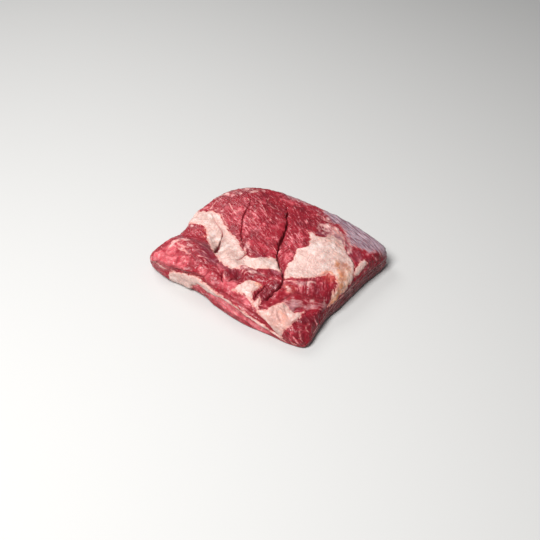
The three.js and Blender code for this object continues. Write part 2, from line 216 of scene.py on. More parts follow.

# Shallow folds and furrows: route, half width, depth; the material also paints shade into them by their depth
CREASES = {
    "under the ridge": ([
        (58, -90), (61, -84), (66, -73), (74, -58), (84, -52), (95, -45), (104, -38)], 1.6, 1.5),
    "edge of the dome": ([
        (-97, 2), (-91, -3), (-84, -8), (-76, -12), (-69, -16), (-62, -21), (-58, -27)], 1.0, 1.3),
    "rim of the left fat": ([
        (-83, 4), (-74, -4), (-63, -11), (-53, -18), (-41, -24), (-31, -30)], 1.1, 0.9),
    "fork of the rim": ([(-81, 11), (-73, 3), (-64, -6), (-56, -12)], 1.0, 0.7),
    "beside the curled flap": ([(-14, -58), (-10, -53), (-9, -46), (-8.5, -40), (-9, -35)], 0.9, 2.0),
    "under the lobe": ([
        (-103, -98), (-94, -100), (-84, -102), (-74, -102), (-64, -100), (-54, -98), (-45, -96), (-36, -97),
        (-27, -99)], 1.2, 1.2),
    "left of the nodule": ([(-36, -97), (-32, -91), (-31, -84)], 1.2, 2.2),
    "top of the nodule": ([(-31, -84), (-24, -82), (-17, -82)], 1.0, 1.2),
    "under the nodule": ([(-24, -98), (-14, -98.5), (-4, -98)], 1.2, 1.4),
    "upper lump crease": ([(-104, -88), (-93, -89), (-84, -86), (-75, -84), (-66, -80)], 1.8, 1.3),
    "lower lump crease": ([(-101, -101), (-87, -99), (-77, -98), (-68, -97)], 1.7, 1.1),
    "notch of the lobe": ([(-81, -86), (-78, -92), (-77, -97)], 1.7, 1.7),
    "behind the pink lump": ([(-65, -80), (-61, -86), (-56, -91), (-50, -92)], 1.9, 1.8),
    "over the back": ([(-54, -86), (-44, -83), (-36, -79), (-33, -73)], 1.7, 1.4),
    "small back folds": ([(-30, -72), (-22, -74), (-14, -72)], 1.0, 1.0),
    "second back fold": ([(-46, -72), (-36, -74), (-28, -71)], 1.0, 0.8),
    "dark line on the wall": ([(8, -104), (16, -106), (24, -105.5), (33, -106), (41, -105)], 0.9, 1.2),
    "dark line by the fin": ([(6, -97), (14, -99), (21, -98.5), (28, -98)], 1.0, 1.4),
    "wall furrow": ([
        (-6, -101.5), (10, -103), (29, -104), (44, -107.5), (57, -108.5), (70, -112),
        (80, -114)], 1.1, 1.2),
    "slit over the lower fat": ([(84, -77), (84, -71), (86, -65), (91, -61)], 1.2, 2.0),
    "at the front corner": ([(93, -88), (98, -86), (103, -83), (106, -76)], 1.8, 2.4),
    "right of the corner": ([(103, -98), (107, -88), (110, -79)], 1.2, 1.2),
    "tongue fold": ([(45, -66), (47, -76), (45, -86), (47, -95)], 1.0, 1.4),
    "over the wedge": ([(56, -54), (62, -52), (69, -52), (76, -50)], 1.1, 1.2),
    "under the orange lump": ([(59, -62), (66, -61), (73, -58), (78, -53)], 1.0, 1.2),
    "right edge fold": ([(117, -66), (116, -30), (118, 6), (121, 40)], 1.2, 0.4),
    "lower right edge fold": ([(124, -50), (126, -10), (130, 30), (136, 60)], 1.4, 0.4),
    "fin wrinkle": ([(22, -74), (24, -82), (30, -88), (34, -94)], 1.0, 0.8),
    "lower fat wrinkle": ([(70, -86), (73, -92), (78, -96), (85, -99)], 1.0, 1.0),
    "second lower fat wrinkle": ([(72, -78), (78, -84), (83, -88), (88, -91)], 1.0, 1.0),
    "third lower fat wrinkle": ([(60, -84), (65, -89), (69, -96), (72, -103)], 1.0, 0.9),
    "cross wrinkle of the lower fat": ([(64, -82), (70, -83), (76, -81)], 0.9, 0.8),
}

# Pale lines of connective tissue: route and half width
STRANDS = {
    "fork on the dome": ([(-86, 25), (-77, 19), (-70, 15), (-63, 17)], 0.9),
    "leg of the fork": ([(-71, 16), (-66, 12), (-61, 9)], 0.7),
    "hook on the dome": ([(-48, 28), (-42, 24), (-43, 33)], 0.7),
    "beside the second cleft": ([(-69, 43), (-65, 41), (-61, 38)], 0.8),
    "long strand of the dome": ([(-55, 48), (-39, 37), (-28, 29), (-15, 23)], 0.5),
    "second long strand": ([(-50, 22), (-38, 12), (-30, 4)], 0.5),
    "curl near the top": ([(-47, 62), (-41, 51), (-31, 46), (-24, 47), (-14, 47)], 0.5),
    "rim strand": ([(-82, -2), (-76, -7), (-71, -12), (-63, -16), (-53, -21), (-41, -26)], 1.1),
    "upper rim strand": ([(-84, 6), (-77, 0), (-69, -6), (-61, -10)], 0.9),
    "left shoulder of the dome": ([(-102, 3), (-103, 13), (-104, 24)], 0.8),
    "crest web": ([(-107, -71), (-101, -66), (-95, -63), (-86, -61)], 1.2),
    "crest web, middle": ([(-101, -66), (-96, -70), (-91, -72), (-81, -74), (-71, -73)], 1.1),
    "crest web, low": ([(-106, -78), (-98, -75), (-91, -76), (-82, -79), (-72, -78)], 1.1),
    "crest web, right": ([(-82, -73), (-76, -78), (-69, -80), (-65, -78)], 1.0),
    "crest web, cross": ([(-91, -72), (-90, -76), (-84, -79)], 1.0),
    "back strand": ([(-68, -62), (-58, -60), (-50, -61)], 0.5),
    "middle back strand": ([(-64, -71), (-54, -69), (-45, -70)], 0.5),
    "lower back strand": ([(-58, -78), (-48, -75), (-40, -72)], 0.5),
    "pink lump ring": ([(-75, -91), (-71, -86), (-66, -88), (-68, -93)], 0.7),
    "pit strand": ([(8, -61), (5, -65), (3, -71)], 0.9),
    "second pit strand": ([(12, -64), (9, -68), (8, -72)], 0.8),
    "beside the nodule": ([(-13, -79), (-11, -84), (-6, -89)], 0.7),
    "corner streak": ([(101, -92), (105, -95), (110, -99)], 0.8),
    "second corner streak": ([(89, -90), (94, -94), (98, -98)], 0.6),
    "third corner streak": ([(104, -83), (109, -86), (113, -84)], 0.6),
    "right wall strand": ([(115, -79), (115, -53), (116, -28), (118, -7), (121, 19)], 0.7),
    "top of the wedge": ([(54, -53), (63, -50), (71, -45)], 0.8),
    "wall strand": ([(-10, -110), (10, -113), (30, -117), (48, -121)], 0.5),
    "fleck on the wall": ([(14, -121), (20, -122), (25, -124)], 0.9),
    "second fleck on the wall": ([(-40, -121), (-35, -122), (-31, -122)], 1.0),
}

# Whitish membrane over the muscle: how bluish it is, and outline
FILM_SHEETS = {
    "back right corner": (1.0, [
        (20, 92), (22, 84), (32, 79), (41, 73), (51, 74), (66, 66), (77, 59), (84, 51), (92, 54), (98, 57),
        (110, 62), (115, 68), (122, 74), (130, 84), (120, 92), (112, 106), (96, 110), (81, 104), (63, 100),
        (43, 100), (31, 98)]),
    "before the ridge": (0.15, [
        (64, -82), (68, -73), (73, -65), (79, -59), (84, -57), (87, -61), (91, -58), (93, -54), (99, -47),
        (107, -39), (112, -42), (105, -50), (99, -58), (93, -64), (88, -64), (86, -70), (84, -80),
        (74, -82)]),
    "back rim": (0.45, [
        (-52, 86), (-40, 82), (-30, 80), (-18, 82), (-6, 86), (8, 90), (20, 92), (16, 104), (-20, 104),
        (-50, 100)]),
    "left wall": (0.8, [(-124, 50), (-118, 34), (-122, 20), (-132, 16), (-140, 24), (-136, 44)]),
    "back wall": (0.9, [(8, 104), (30, 102), (52, 104), (56, 110), (34, 112), (12, 109)]),
}

# Soft patches, each as middle, half sizes, turn in degrees, amount.
# Lighter or darker muscle, with painted shade on the right wall and a painted highlight at (73, -46)
MUSCLE_TONES_AND_PAINTED_LIGHT = [
    (-60, -60, 16, 10, -30, -0.5), (-50, -72, 18, 7, -10, -0.6), (-30, -68, 18, 5, -15, -0.5),
    (2, -74, 9, 6, 30, -1.2), (50, -78, 6, 20, -5, -1.3), (42, -80, 4, 12, 0, -0.9),
    (-20, 44, 14, 8, -60, -0.5), (-14, 30, 10, 6, -60, -0.3), (102, -78, 7, 6, 0, -1.1),
    (108, -62, 5, 14, 0, -1.0), (98, -84, 6, 4, 0, -0.9), (96, 46, 10, 7, 0, -0.1),
    (-98, -28, 8, 5, 0, -0.1), (46, 40, 8, 4, 0, -0.7), (-66, 30, 5, 10, 60, -0.3),
    (92, -48, 14, 4, 40, -0.5), (-2, 62, 16, 10, -20, -0.2), (20, 56, 20, 12, -20, -0.1),
    (-84, 18, 6, 8, 0, -0.3), (36, -19, 6, 12, 20, 0.8), (26, 8, 12, 14, 0, 0.3), (-6, -22, 14, 6, 0, 0.6),
    (-66, 14, 22, 10, -30, 0.7), (-24, 6, 22, 12, -20, 0.3), (-40, 40, 16, 12, -20, 0.1),
    (64, -64, 5, 16, -28, 0.5), (62, -50, 12, 4, 20, 0.5), (96, -18, 8, 8, 0, 0.3),
    (-108, 8, 6, 12, 0, 0.5), (-90, -24, 10, 5, -10, 0.5), (30, -64, 14, 4, 10, 0.1),
    (100, -98, 12, 6, 0, 0.2), (95, 50, 8, 5, 0, 0.2), (132, -20, 16, 80, 0, -1.8),
    (134, 60, 16, 40, 0, -1.2), (100, -40, 8, 4, 0, -0.8), (104, -4, 4, 16, 0, -0.3),
    (2, -68, 8, 5, 0, 0.8), (0, -118, 60, 8, -5, 0.5), (-19, 74, 11, 6, 20, 0.9),
    (14, 60, 18, 8, -20, -0.8), (24, 44, 14, 10, 0, -0.6), (48, -62, 6, 8, 0, -0.5),
    (72, -64, 6, 5, 40, 0.5), (60, -79, 5, 8, -25, 0.6), (-5, 72, 8, 6, 0, -0.4), (73, -46, 8, 4, 38, 0.8),
]
# Wet pink flesh of the folded lobe and the lower muscle of the front wall
PINKS = [
    (-112, -92, 17, 12, 5, 0.85), (-86, -94, 16, 9, 0, 0.75), (-68, -90, 10, 8, 0, 0.8),
    (-20, -93, 13, 8, 0, 0.4), (-40, -90, 12, 6, 0, 0.6), (6, -91, 14, 6, 0, 0.9),
    (-2, -116, 44, 8, -6, 0.9), (44, -120, 34, 6, -4, 0.8), (30, -100, 26, 5, -6, 0.55),
    (-95, -76, 14, 6, 0, 0.5), (-100, -110, 14, 8, 0, 0.5), (-52, -116, 16, 6, 0, 0.5),
    (92, -116, 12, 5, 0, 0.4), (-20, 73, 10, 6, 40, 0.35), (-23, -77, 9, 6, 0, 0.5),
    (36, -16, 7, 14, 20, 0.4), (72, -64, 6, 5, 40, 0.4), (-88, -66, 22, 10, -10, 0.4),
    (84, -24, 5, 9, 30, 0.4),
]
# Purplish flesh that has dried a little; the spots at (-56, -34), (-20, -52) and (28, -42) are painted shade
# on the left fat
PURPLES_AND_FAT_SHADE = [
    (-58, -60, 18, 9, -25, 1.0), (-44, -72, 16, 6, -15, 0.8), (-16, 44, 14, 7, -60, 0.5),
    (-12, -72, 14, 5, 0, 0.8), (-96, -54, 22, 6, -10, 0.7), (46, 44, 9, 5, 0, 0.8),
    (86, -66, 7, 3, 30, 0.8), (90, -73, 4, 3, 0, 0.6), (92, -36, 8, 5, -60, 0.5), (-88, 22, 7, 5, 0, 0.7),
    (-12, 84, 30, 6, 0, 0.6), (30, 82, 30, 6, -10, 0.6), (94, 40, 8, 5, -20, 0.7),
    (-104, 40, 8, 20, -20, 0.3), (12, -38, 30, 3, -10, 0.4), (124, -20, 12, 60, 0, 0.2),
    (102, 47, 14, 8, -20, 0.8), (60, 54, 24, 13, -15, 0.9), (76, -75, 9, 8, 20, 1.0),
    (70, 40, 22, 5, -10, 0.5), (-100, -10, 22, 10, 0, 0.7), (-56, -34, 30, 10, -45, 1.1),
    (-20, -52, 32, 9, -25, 1.0), (28, -42, 24, 8, -15, 1.0), (-108, -30, 8, 5, -10, 0.7),
    (74, -94, 14, 10, 0, 0.6),
]
# Fat that has yellowed
YELLOWS = [
    (104, -2, 8, 14, 0, 1.4), (98, 14, 12, 10, 0, 0.6), (92, -9, 8, 5, 0, 1.2), (110, -30, 5, 16, 0, 1.1),
    (84, 14, 10, 8, 0, 0.4), (70, -96, 14, 12, 0, 0.25), (-78, -38, 7, 6, -45, 0.6),
    (78, -98, 9, 7, 0, 0.3), (34, -76, 5, 6, 0, 0.6), (92, -70, 7, 6, 0, 0.4), (22, -80, 8, 5, 0, 0.2),
    (104, -24, 6, 10, 0, 0.8),
]
# Raw edges where red shines through thin fat
BLUSHES = [
    (-86, -28, 8, 5, -10, 1.0), (-77, -36, 5, 7, -30, 0.8), (95, -11, 8, 7, 0, 1.4),
    (89, -16, 6, 10, 30, 1.0), (-72, -42, 5, 6, -40, 0.6), (36, -74, 4, 5, 0, 0.9),
    (66, 42, 14, 5, -5, 0.8), (76, 34, 12, 5, -10, 0.6), (56, 34, 8, 5, 0, 0.4), (65, -57, 7, 4, 20, 0.9),
    (-105, -22, 5, 4, 0, 0.7), (0, -60, 12, 3, 0, 0.4), (78, -90, 6, 8, 0, 0.5), (80, 52, 10, 5, -20, 0.4),
    (12, -62, 10, 3, 0, 0.5), (70, -92, 7, 6, 0, 0.35), (82, -96, 6, 7, 0, 0.3), (62, -98, 6, 5, 0, 0.4),
    (28, -78, 5, 4, 0, 0.4), (98, 4, 6, 8, 0, 0.4), (66, -59, 8, 5, 20, 1.0),
]
# Thin fat and membrane that veil the muscle in patches, and a painted highlight on the ridge
# at (72, -44), (73, -46) and (82, -37)
VEILS_AND_RIDGE_HIGHLIGHT = [
    (54, 56, 22, 13, -10, 0.7), (76, 52, 14, 9, -15, 0.7), (88, 44, 8, 8, 0, 0.4), (36, 48, 7, 8, 0, 0.3),
    (64, 60, 20, 6, -15, 0.5), (-6, 86, 44, 6, -2, 0.3), (40, 74, 24, 6, -15, 0.4),
    (92, -58, 12, 6, 40, 0.4), (-101, -70, 4, 8, -25, 1.0), (-92, -61, 10, 3, 25, 1.2),
    (-82, -66, 8, 3, -30, 0.9), (-94, -73, 8, 2, 12, 0.9), (-84, -77, 9, 2, 0, 0.8),
    (-74, -70, 6, 3, 0, 0.7), (72, -44, 12, 4, 38, 0.5), (82, -37, 8, 3, 60, 0.5), (16, -60, 24, 3, 0, 0.6),
    (76, -72, 8, 10, 0, 0.8), (-18, -30, 26, 5, -30, 0.5), (14, -64, 24, 4, 0, 0.5),
    (-104, 30, 5, 20, -12, 0.5), (-92, 8, 14, 4, 0, 0.5), (-30, -106, 30, 4, -3, 0.4),
    (98, -42, 10, 6, 30, 0.25), (-80, 56, 24, 9, 40, 0.8), (73, -46, 10, 3, 38, 0.6),
    (66, -58, 5, 3, 20, 0.9), (-108, -28, 10, 5, -10, 0.8),
]
# Fat that blood has tinted pink
ROSES = [
    (76, -92, 22, 17, 0, 1.0), (25, -84, 12, 9, 0, 0.35), (-58, -108, 34, 9, 5, 0.3),
    (-6, -60, 40, 4, -4, 0.5), (64, 42, 26, 5, -8, 0.6), (60, 60, 18, 11, -15, 0.9),
    (-112, -16, 6, 10, 0, 0.2), (-60, -34, 40, 14, -45, 0.25), (40, -112, 90, 5, -8, 0.3),
    (-20, -38, 26, 5, -35, 0.3),
]
# Where pale tissue webs the flesh, and where the cut fibres show as pale strokes with painted glints
WEBS = [
    (-90, -72, 20, 9, 0, 0.4), (-72, 22, 18, 10, -20, 0.5), (-30, 56, 16, 8, -30, 0.5),
    (70, -46, 12, 6, 40, 0.3), (-20, -92, 10, 7, 0, 0.4), (-40, -88, 12, 7, 0, 0.6),
    (85, -40, 10, 8, 0, 0.3), (-24, -46, 30, 5, -25, 0.5), (40, 46, 18, 8, 0, 0.25),
    (-6, -34, 20, 5, 0, 0.5), (104, -88, 8, 8, 0, 0.5),
]
STROKES = [
    (-26, 0, 26, 16, -20, 1.0), (-36, 26, 26, 14, -30, 0.7), (26, 14, 14, 26, 0, 0.6),
    (6, 46, 16, 12, -30, 0.35), (-70, 6, 22, 12, -30, 0.4), (34, -16, 8, 14, 20, 1.0),
    (96, 44, 12, 7, 0, 0.9), (80, -30, 16, 9, 30, 0.8), (120, 60, 12, 30, 0, 0.2),
    (34, 70, 40, 14, -20, 0.2), (62, -70, 6, 20, -25, 0.2), (0, 116, 90, 20, 0, 0.4),
    (-136, 0, 20, 70, 0, 0.4),
]

# The fields of the material that are soft patches alone
SOFT_FIELDS = {
    "purple": PURPLES_AND_FAT_SHADE, "yellow": YELLOWS, "blush": BLUSHES, "veil": VEILS_AND_RIDGE_HIGHLIGHT, "rose": ROSES, "web": WEBS,
    "stroke": STROKES,
}

# How the fibres lie: turn in degrees from the slab's long side, and where; the rest lies as on the dome
DOME_TURN = -22
FIBRE_TURNS = {
    "right of the main cleft": (-34, [
        (-25, 70), (12, 6), (27, -27), (52, -51), (130, -40), (130, 110), (-25, 110)]),
    "red end by the cleft": (82, [(22, -19), (37, -38), (46, -40), (46, -16), (34, -6), (16, -6)]),
    "ridge": (-62, [(69, -41), (80, -22), (88, -5), (108, -4), (110, -40), (95, -45), (74, -56)]),
    "wedge": (55, [(49, -96), (54, -66), (52, -51), (69, -41), (74, -56), (66, -73), (58, -94)]),
    "lobe": (-12, [(-132, -100), (-130, -50), (-100, -30), (-60, -46), (10, -62), (10, -100)]),
    "front wall": (-3, [
        (-130, -140), (-130, -99), (-40, -95), (10, -99), (60, -104), (92, -100), (92, -140)]),
    "membrane": (38, [
        (60, -90), (66, -74), (74, -60), (84, -54), (95, -47), (106, -39), (112, -44), (100, -66),
        (84, -84)]),
    "silverskin": (-14, [(20, 96), (20, 82), (50, 70), (84, 48), (124, 68), (124, 98)]),
    "right wall": (88, [
        (114, -110), (114, -60), (117, 40), (120, 76), (112, 100), (170, 100), (170, -110)]),
    "back wall": (4, [(-90, 98), (120, 98), (120, 160), (-90, 160)]),
    "left wall": (86, [(-119, -90), (-119, 60), (-100, 90), (-170, 90), (-170, -90)]),
}

# The photo's view: a lens for a 36 mm wide frame, the distance to the point aimed at, and the angles round it
FRAME_WIDTH = 36
LENS = 50.93
CAMERA_DISTANCE = 984
CAMERA_AZIMUTH = 34.8
CAMERA_ELEVATION = 40.8
AIM = (1.2, -5.2)

# The studio, in metres: each light's azimuth, elevation, distance and size, and its watts
SOFTBOXES = {"key": (-8, 60, 1.6, 0.7, 36), "back": (250, 45, 1.8, 0.7, 10)}
STUDIO_TINT = (0.95, 0.97, 1.0, 1)
STUDIO_STRENGTH = 0.17
FLOOR_HALF = 4.0
FLOOR_COLOUR = "#c2c1bf"
FLOOR_ROUGHNESS = 0.8
FAR_LIMIT = 100

# How finely the mesh is divided, and the two thin rings where the underside drops every other vertex
CELLS = 116
WALL_ROWS = 38
UNDERSIDE_RINGS = 24
UNDERSIDE_INSETS = (0.98, 0.95)
STEPS_PER_KNOT = 40
ROUTE_STEPS = 6
ALMOST = 1e-6

EDGE_KNOTS = np.array([knot for side in SIDES for knot in side], float)

# Layers of noise: size in mm, seed, octaves, and height in mm
LAYERS = {
    "jagged lips": (5, 11, 1, 0.5),
    "fine jags": (2, 12, 1, 0.3),
    "wobble of x": (5, 13, 2, 1.3),
    "wobble of y": (5, 14, 2, 1.3),
    "ragged fat edge": (7, 21, 2, 1.7),
    "coarse fibres": ((20, 3.6, 1), 31, 2, 0.45),
    "fine fibres": ((9, 1.7, 1), 33, 1, 0.15),
    "broad swells": (24, 35, 2, 1),
    "small folds": (6, 43, 2, 0.9),
    "fat lumps": (6, 53, 2, 0.5),
    "fat swells": (16, 55, 1, 1.1),
    "wall layers": ((34, 5, 1), 61, 2, 1),
    "wall grit": (4, 63, 2, 0.4),
}
# Rounded cells: size in mm and seed, and the share of a cell that the crease round it takes
FIBRE_BUNDLES = ((15, 5, 5), 37)
WET_LUMPS = ((11.2, 8, 8), 41)
LOBULES = (8, 51)
CELL_CREASE = 0.6

# How high in mm, or in what share, each kind of relief stands, and where above the table it fades in
BUNDLE_RISE = 0.4
BUNDLE_MIDDLE = 0.6
SWELLS_OF_TOP = 0.8
SWELLS_OF_WALLS = 0.9
WET_LUMP_RISE = 1.6
FIBRES_LOST_WHEN_WET = 0.7
FOLDS_IN_WEBS = 0.5
FOLDS_IN_VEILS = 0.4
FOLDS_OF_WALLS = 0.2
LOBULE_RISE = 0.3
STRAND_RISE = 0.25
SMOOTH_IN_GAPS = 0.85
TABLE_FADE = (0.5, 8)

# The furrow between wet lumps: depth in mm, and how far into a lump it starts and is full; it is also painted
# shade
WET_FURROW = 1.0
WET_FURROW_START = 0.45
WET_FURROW_RUN = 0.4
# A small muscle: how flat its top is, the depth, place and width of the furrow round it as shares, and the
# rise in mm from which it hides the furrows of others; the material paints shade into that furrow
LUMP_FLATNESS = 3.4
MOAT_DEPTH = 0.35
MOAT_PLACE = 1.15
MOAT_WIDTH = 0.16
MOAT_UNDER = 0.8
# Lines and seams in mm: how far they reach, how their ends taper, and how ragged a seam's edges are
LINE_REACH = 8
LINE_TAPER = 3
SEAM_TAPER = 4
SEAM_END = 3
SEAM_RAGGED = 0.5


def smooth_step(value, start, end):
    """0 before start, 1 after end, and an eased change between them."""
    share = np.clip((value - start) / (end - start), 0, 1)
    return share * share * (3 - 2 * share)


def curve_through(points, knots, closed):
    """Places on a smooth curve through points, at positions counted in points."""
    points = np.asarray(points, float)
    if closed:
        points = np.concatenate([points[-1:], points, points[:2]])
    else:
        points = np.concatenate([[2 * points[0] - points[1]], points, [2 * points[-1] - points[-2]]])
    start = np.minimum(np.floor(knots).astype(int), len(points) - 4)
    t = (knots - start)[:, None]
    a, b, c, d = (points[start + step] for step in range(4))
    square = 2 * a - 5 * b + 4 * c - d
    cube = 3 * b - a - 3 * c + d
    return 0.5 * (2 * b + (c - a) * t + square * t ** 2 + cube * t ** 3)


def edge_at(around):
    """Edge points at positions from 0 to 4 round the slab, evenly spaced along each of its four sides."""
    count = len(EDGE_KNOTS)
    knots = np.linspace(0, count, count * STEPS_PER_KNOT + 1)
    fine = curve_through(EDGE_KNOTS, np.minimum(knots, count - ALMOST), closed=True)
    travelled = np.concatenate([[0], np.cumsum(np.hypot(*np.diff(fine[:, :2], axis=0).T))])
    corners = np.cumsum([0] + [len(side) for side in SIDES]) * STEPS_PER_KNOT
    wanted = np.interp(around, range(5), travelled[corners])
    reached = np.minimum(np.interp(wanted, travelled, knots), count - ALMOST)
    return curve_through(EDGE_KNOTS, reached, closed=True)


def smooth_route(points):
    """A smooth line through given points, with whatever else each of them states, such as a width."""
    steps = (len(points) - 1) * ROUTE_STEPS
    knots = np.linspace(0, len(points) - 1, steps + 1)
    return curve_through(points, np.minimum(knots, len(points) - 1 - ALMOST), closed=False)


def nearest_on(route, places, reach=math.inf):
    """For places within reach: distance to a line, its nearest point, and its length before and after."""
    gap = np.full(len(places), np.inf)
    foot = np.zeros((len(places), route.shape[1]))
    before = np.zeros(len(places))
    low, high = route[:, :2].min(0) - reach, route[:, :2].max(0) + reach
    near = np.flatnonzero(((places > low) & (places < high)).all(1))
    here = places[near]
    near_gap, near_foot, near_before = gap[near], foot[near], before[near]
    passed = 0.0
    for start, end in zip(route[:-1], route[1:]):
        step = end - start
        run = math.hypot(*step[:2])
        t = np.clip((here - start[:2]) @ step[:2] / run ** 2, 0, 1)
        on_step = start + t[:, None] * step
        distance = np.hypot(*(here - on_step[:, :2]).T)
        closer = distance < near_gap
        near_gap[closer] = distance[closer]
        near_foot[closer] = on_step[closer]
        near_before[closer] = passed + t[closer] * run
        passed += run
    gap[near], foot[near], before[near] = near_gap, near_foot, near_before
    return gap, foot, before, passed - before


def taper(before, after, reach):
    return smooth_step(before, 0, reach) * smooth_step(after, 0, reach)


def closeness(points, half_width, places, reach, run_out):
    """How close places are to a smooth line, from 0 to 1, running out towards its ends."""
    gap, _, before, after = nearest_on(smooth_route(points), places, reach)
    return np.exp(-(gap / half_width) ** 2) * taper(before, after, run_out)


def distance_inside(outline, places):
    """Distance to a closed outline, positive inside it."""
    outline = np.asarray(outline, float)
    closed = np.concatenate([outline, outline[:1]])
    inside = np.zeros(len(places), bool)
    u, v = places.T
    for (u0, v0), (u1, v1) in zip(closed[:-1], closed[1:]):
        if v0 != v1:
            inside ^= ((v0 > v) != (v1 > v)) & (u < u0 + (v - v0) / (v1 - v0) * (u1 - u0))
    gap = np.minimum(nearest_on(closed, places, SHEET_REACH)[0], SHEET_REACH)
    return np.where(inside, gap, -gap)


def along_and_across(places, x, y, half_long, half_wide, turn):
    """Places as shares of an oval's two half sizes, from its middle."""
    angle = math.radians(turn)
    dx, dy = places[:, 0] - x, places[:, 1] - y
    along = (dx * math.cos(angle) + dy * math.sin(angle)) / half_long
    across = (dy * math.cos(angle) - dx * math.sin(angle)) / half_wide
    return along, across


def soft_spots(spots, places):
    """Sum of smooth round spots: middle, half sizes, turn in degrees, amount."""
    total = np.zeros(len(places))
    for *oval, amount in spots:
        along, across = along_and_across(places, *oval)
        total += amount * np.exp(-(along ** 2 + across ** 2))
    return total


def soft_share(spots, places):
    return np.clip(soft_spots(spots, places), 0, 1)


def rounded_lumps(places):
    """Rise of the small muscles, and the depth of the furrow that runs round each."""
    rise = np.zeros(len(places))
    moat = np.zeros(len(places))
    for *oval, height in BUMPS:
        out = np.hypot(*along_and_across(places, *oval))
        rise = np.maximum(rise, height * np.exp(-out ** LUMP_FLATNESS))
        moat = np.maximum(moat, MOAT_DEPTH * height * np.exp(-((out - MOAT_PLACE) / MOAT_WIDTH) ** 2))
    return rise, moat * (rise < MOAT_UNDER)


# Odd numbers that scramble a cell's position into its own random number
HASH_FACTORS = (374761393, 668265263, 1442695041)
HASH_MIX = 1274126177
HASH_WORD = 0xFFFFFFFF
HASH_BITS = 0xFFFFFF
SEED_STEP = 8
OCTAVE_STEP = 3
# Brings the noise to about -1 to 1
NOISE_GAIN = 1.7


def random_at(cells, seed):
    """A repeatable random number from 0 to 1 for each whole-numbered cell."""
    key = seed * HASH_MIX
    for axis, factor in enumerate(HASH_FACTORS):
        key = key + cells[:, axis] * factor
    key = ((key ^ (key >> 13)) * HASH_MIX) & HASH_WORD
    key = ((key ^ (key >> 15)) * HASH_FACTORS[0]) & HASH_WORD
    return ((key ^ (key >> 16)) & HASH_BITS) / HASH_BITS


def layer(name, places):
    """A named layer of smooth noise, each octave half as large and half as high."""
    size, seed, octaves, layer_height = LAYERS[name]
    total = np.zeros(len(places))
    for octave in range(octaves):
        scaled = places / size * 2 ** octave
        cell = np.floor(scaled).astype(np.int64)
        part = scaled - cell
        fade = part ** 3 * (part * (part * 6 - 15) + 10)
        for corner in itertools.product((0, 1), repeat=3):
            ids = cell + corner
            first_seed = seed * SEED_STEP + octave * OCTAVE_STEP
            slope = np.stack([random_at(ids, first_seed + axis) for axis in range(3)], -1) * 2 - 1
            height = ((part - corner) * slope).sum(-1)
            weight = np.where(np.array(corner, bool), fade, 1 - fade).prod(-1)
            total += height * weight * NOISE_GAIN / 2 ** octave
    return layer_height * total


def bundles(places, size, seed):
    """Rounded cells of a given size: 1 in the middle of each and 0 in the creases between them."""
    scaled = places / size
    cell = np.floor(scaled).astype(np.int64)
    first = np.full(len(places), np.inf)
    second = np.full(len(places), np.inf)
    for corner in itertools.product((-1, 0, 1), repeat=3):
        ids = cell + corner
        middle = ids + np.stack([random_at(ids, seed * SEED_STEP + axis) for axis in range(3)], -1)
        distance = np.sqrt(((scaled - middle) ** 2).sum(-1))
        second = np.minimum(second, np.maximum(first, distance))
        first = np.minimum(first, distance)
    return smooth_step(second - first, 0, CELL_CREASE)


for name, (route, *rest) in SLITS.items():
    SLITS[name] = (smooth_route(route), *rest)


def gather_at_slits(plan):
    """Moves places of the plan towards the slits near them, so that the lips are finely divided."""
    for route, *_ in SLITS.values():
        gap, foot, before, after = nearest_on(route, plan, SLIT_REACH)
        pull = GATHER_SHARE * np.exp(-(gap / GATHER_REACH) ** 2) * taper(before, after, SLIT_TAPER)
        plan = plan + (foot[:, :2] - plan) * pull[:, None]
    return plan


def slit_depth(plan):
    """Depth below the lips of every slit, and how deep each place lies in a gap, from 0 to 1."""
    depth = np.zeros(len(plan))
    inside_gap = np.zeros(len(plan))
    halo = np.zeros(len(plan))
    flat = np.column_stack([plan, np.zeros(len(plan))])
    jagged = layer("jagged lips", flat) + layer("fine jags", flat)
    wobbled = plan + np.column_stack([layer("wobble of x", flat), layer("wobble of y", flat)])
    for route, full_depth, lip_drop in SLITS.values():
        gap, foot, before, after = nearest_on(route, wobbled, SLIT_REACH)
        size = taper(before, after, SLIT_TAPER)
        edge = np.maximum(gap + jagged * size, 0) - foot[:, 2] * size
        inside = (1 - smooth_step(edge, 0, GAP_WALL)) * size
        lip = np.maximum(1 - gap / LIP_REACH, 0) ** 2 * size
        depth = np.maximum(depth, (full_depth - lip_drop) * inside + lip_drop * lip)
        inside_gap = np.maximum(inside_gap, inside)
        # a soft halo round each gap, which the material paints as shade beside it
        halo = np.maximum(halo, HALO_SHARE * np.exp(-(edge / HALO_REACH) ** 2) * size)
    return depth, np.maximum(inside_gap, halo)


def ring_grid(cells):
    """Square grid as rings: share out from the crown and position round it, quads, and the outer ring."""
    row, column = np.mgrid[-cells:cells + 1, -cells:cells + 1]
    ring = np.maximum(abs(row), abs(column))
    divisor = 2 * np.maximum(ring, 1)
    on_side = [
        (row == -ring) & (column < ring),
        (column == ring) & (row < ring),
        (row == ring) & (column > -ring),
    ]
    position = [(column + ring) / divisor, 1 + (row + ring) / divisor, 2 + (ring - column) / divisor]
    around = np.select(on_side, position, 3 + (ring - row) / divisor)
    number = np.arange(ring.size).reshape(ring.shape)
    quads = np.stack([number[:-1, :-1], number[:-1, 1:], number[1:, 1:], number[1:, :-1]], -1).reshape(-1, 4)
    outer = np.concatenate([number[0, :-1], number[:-1, -1], number[-1, :0:-1], number[:0:-1, 0]])
    return (ring / cells).ravel(), (around % 4).ravel(), quads, outer


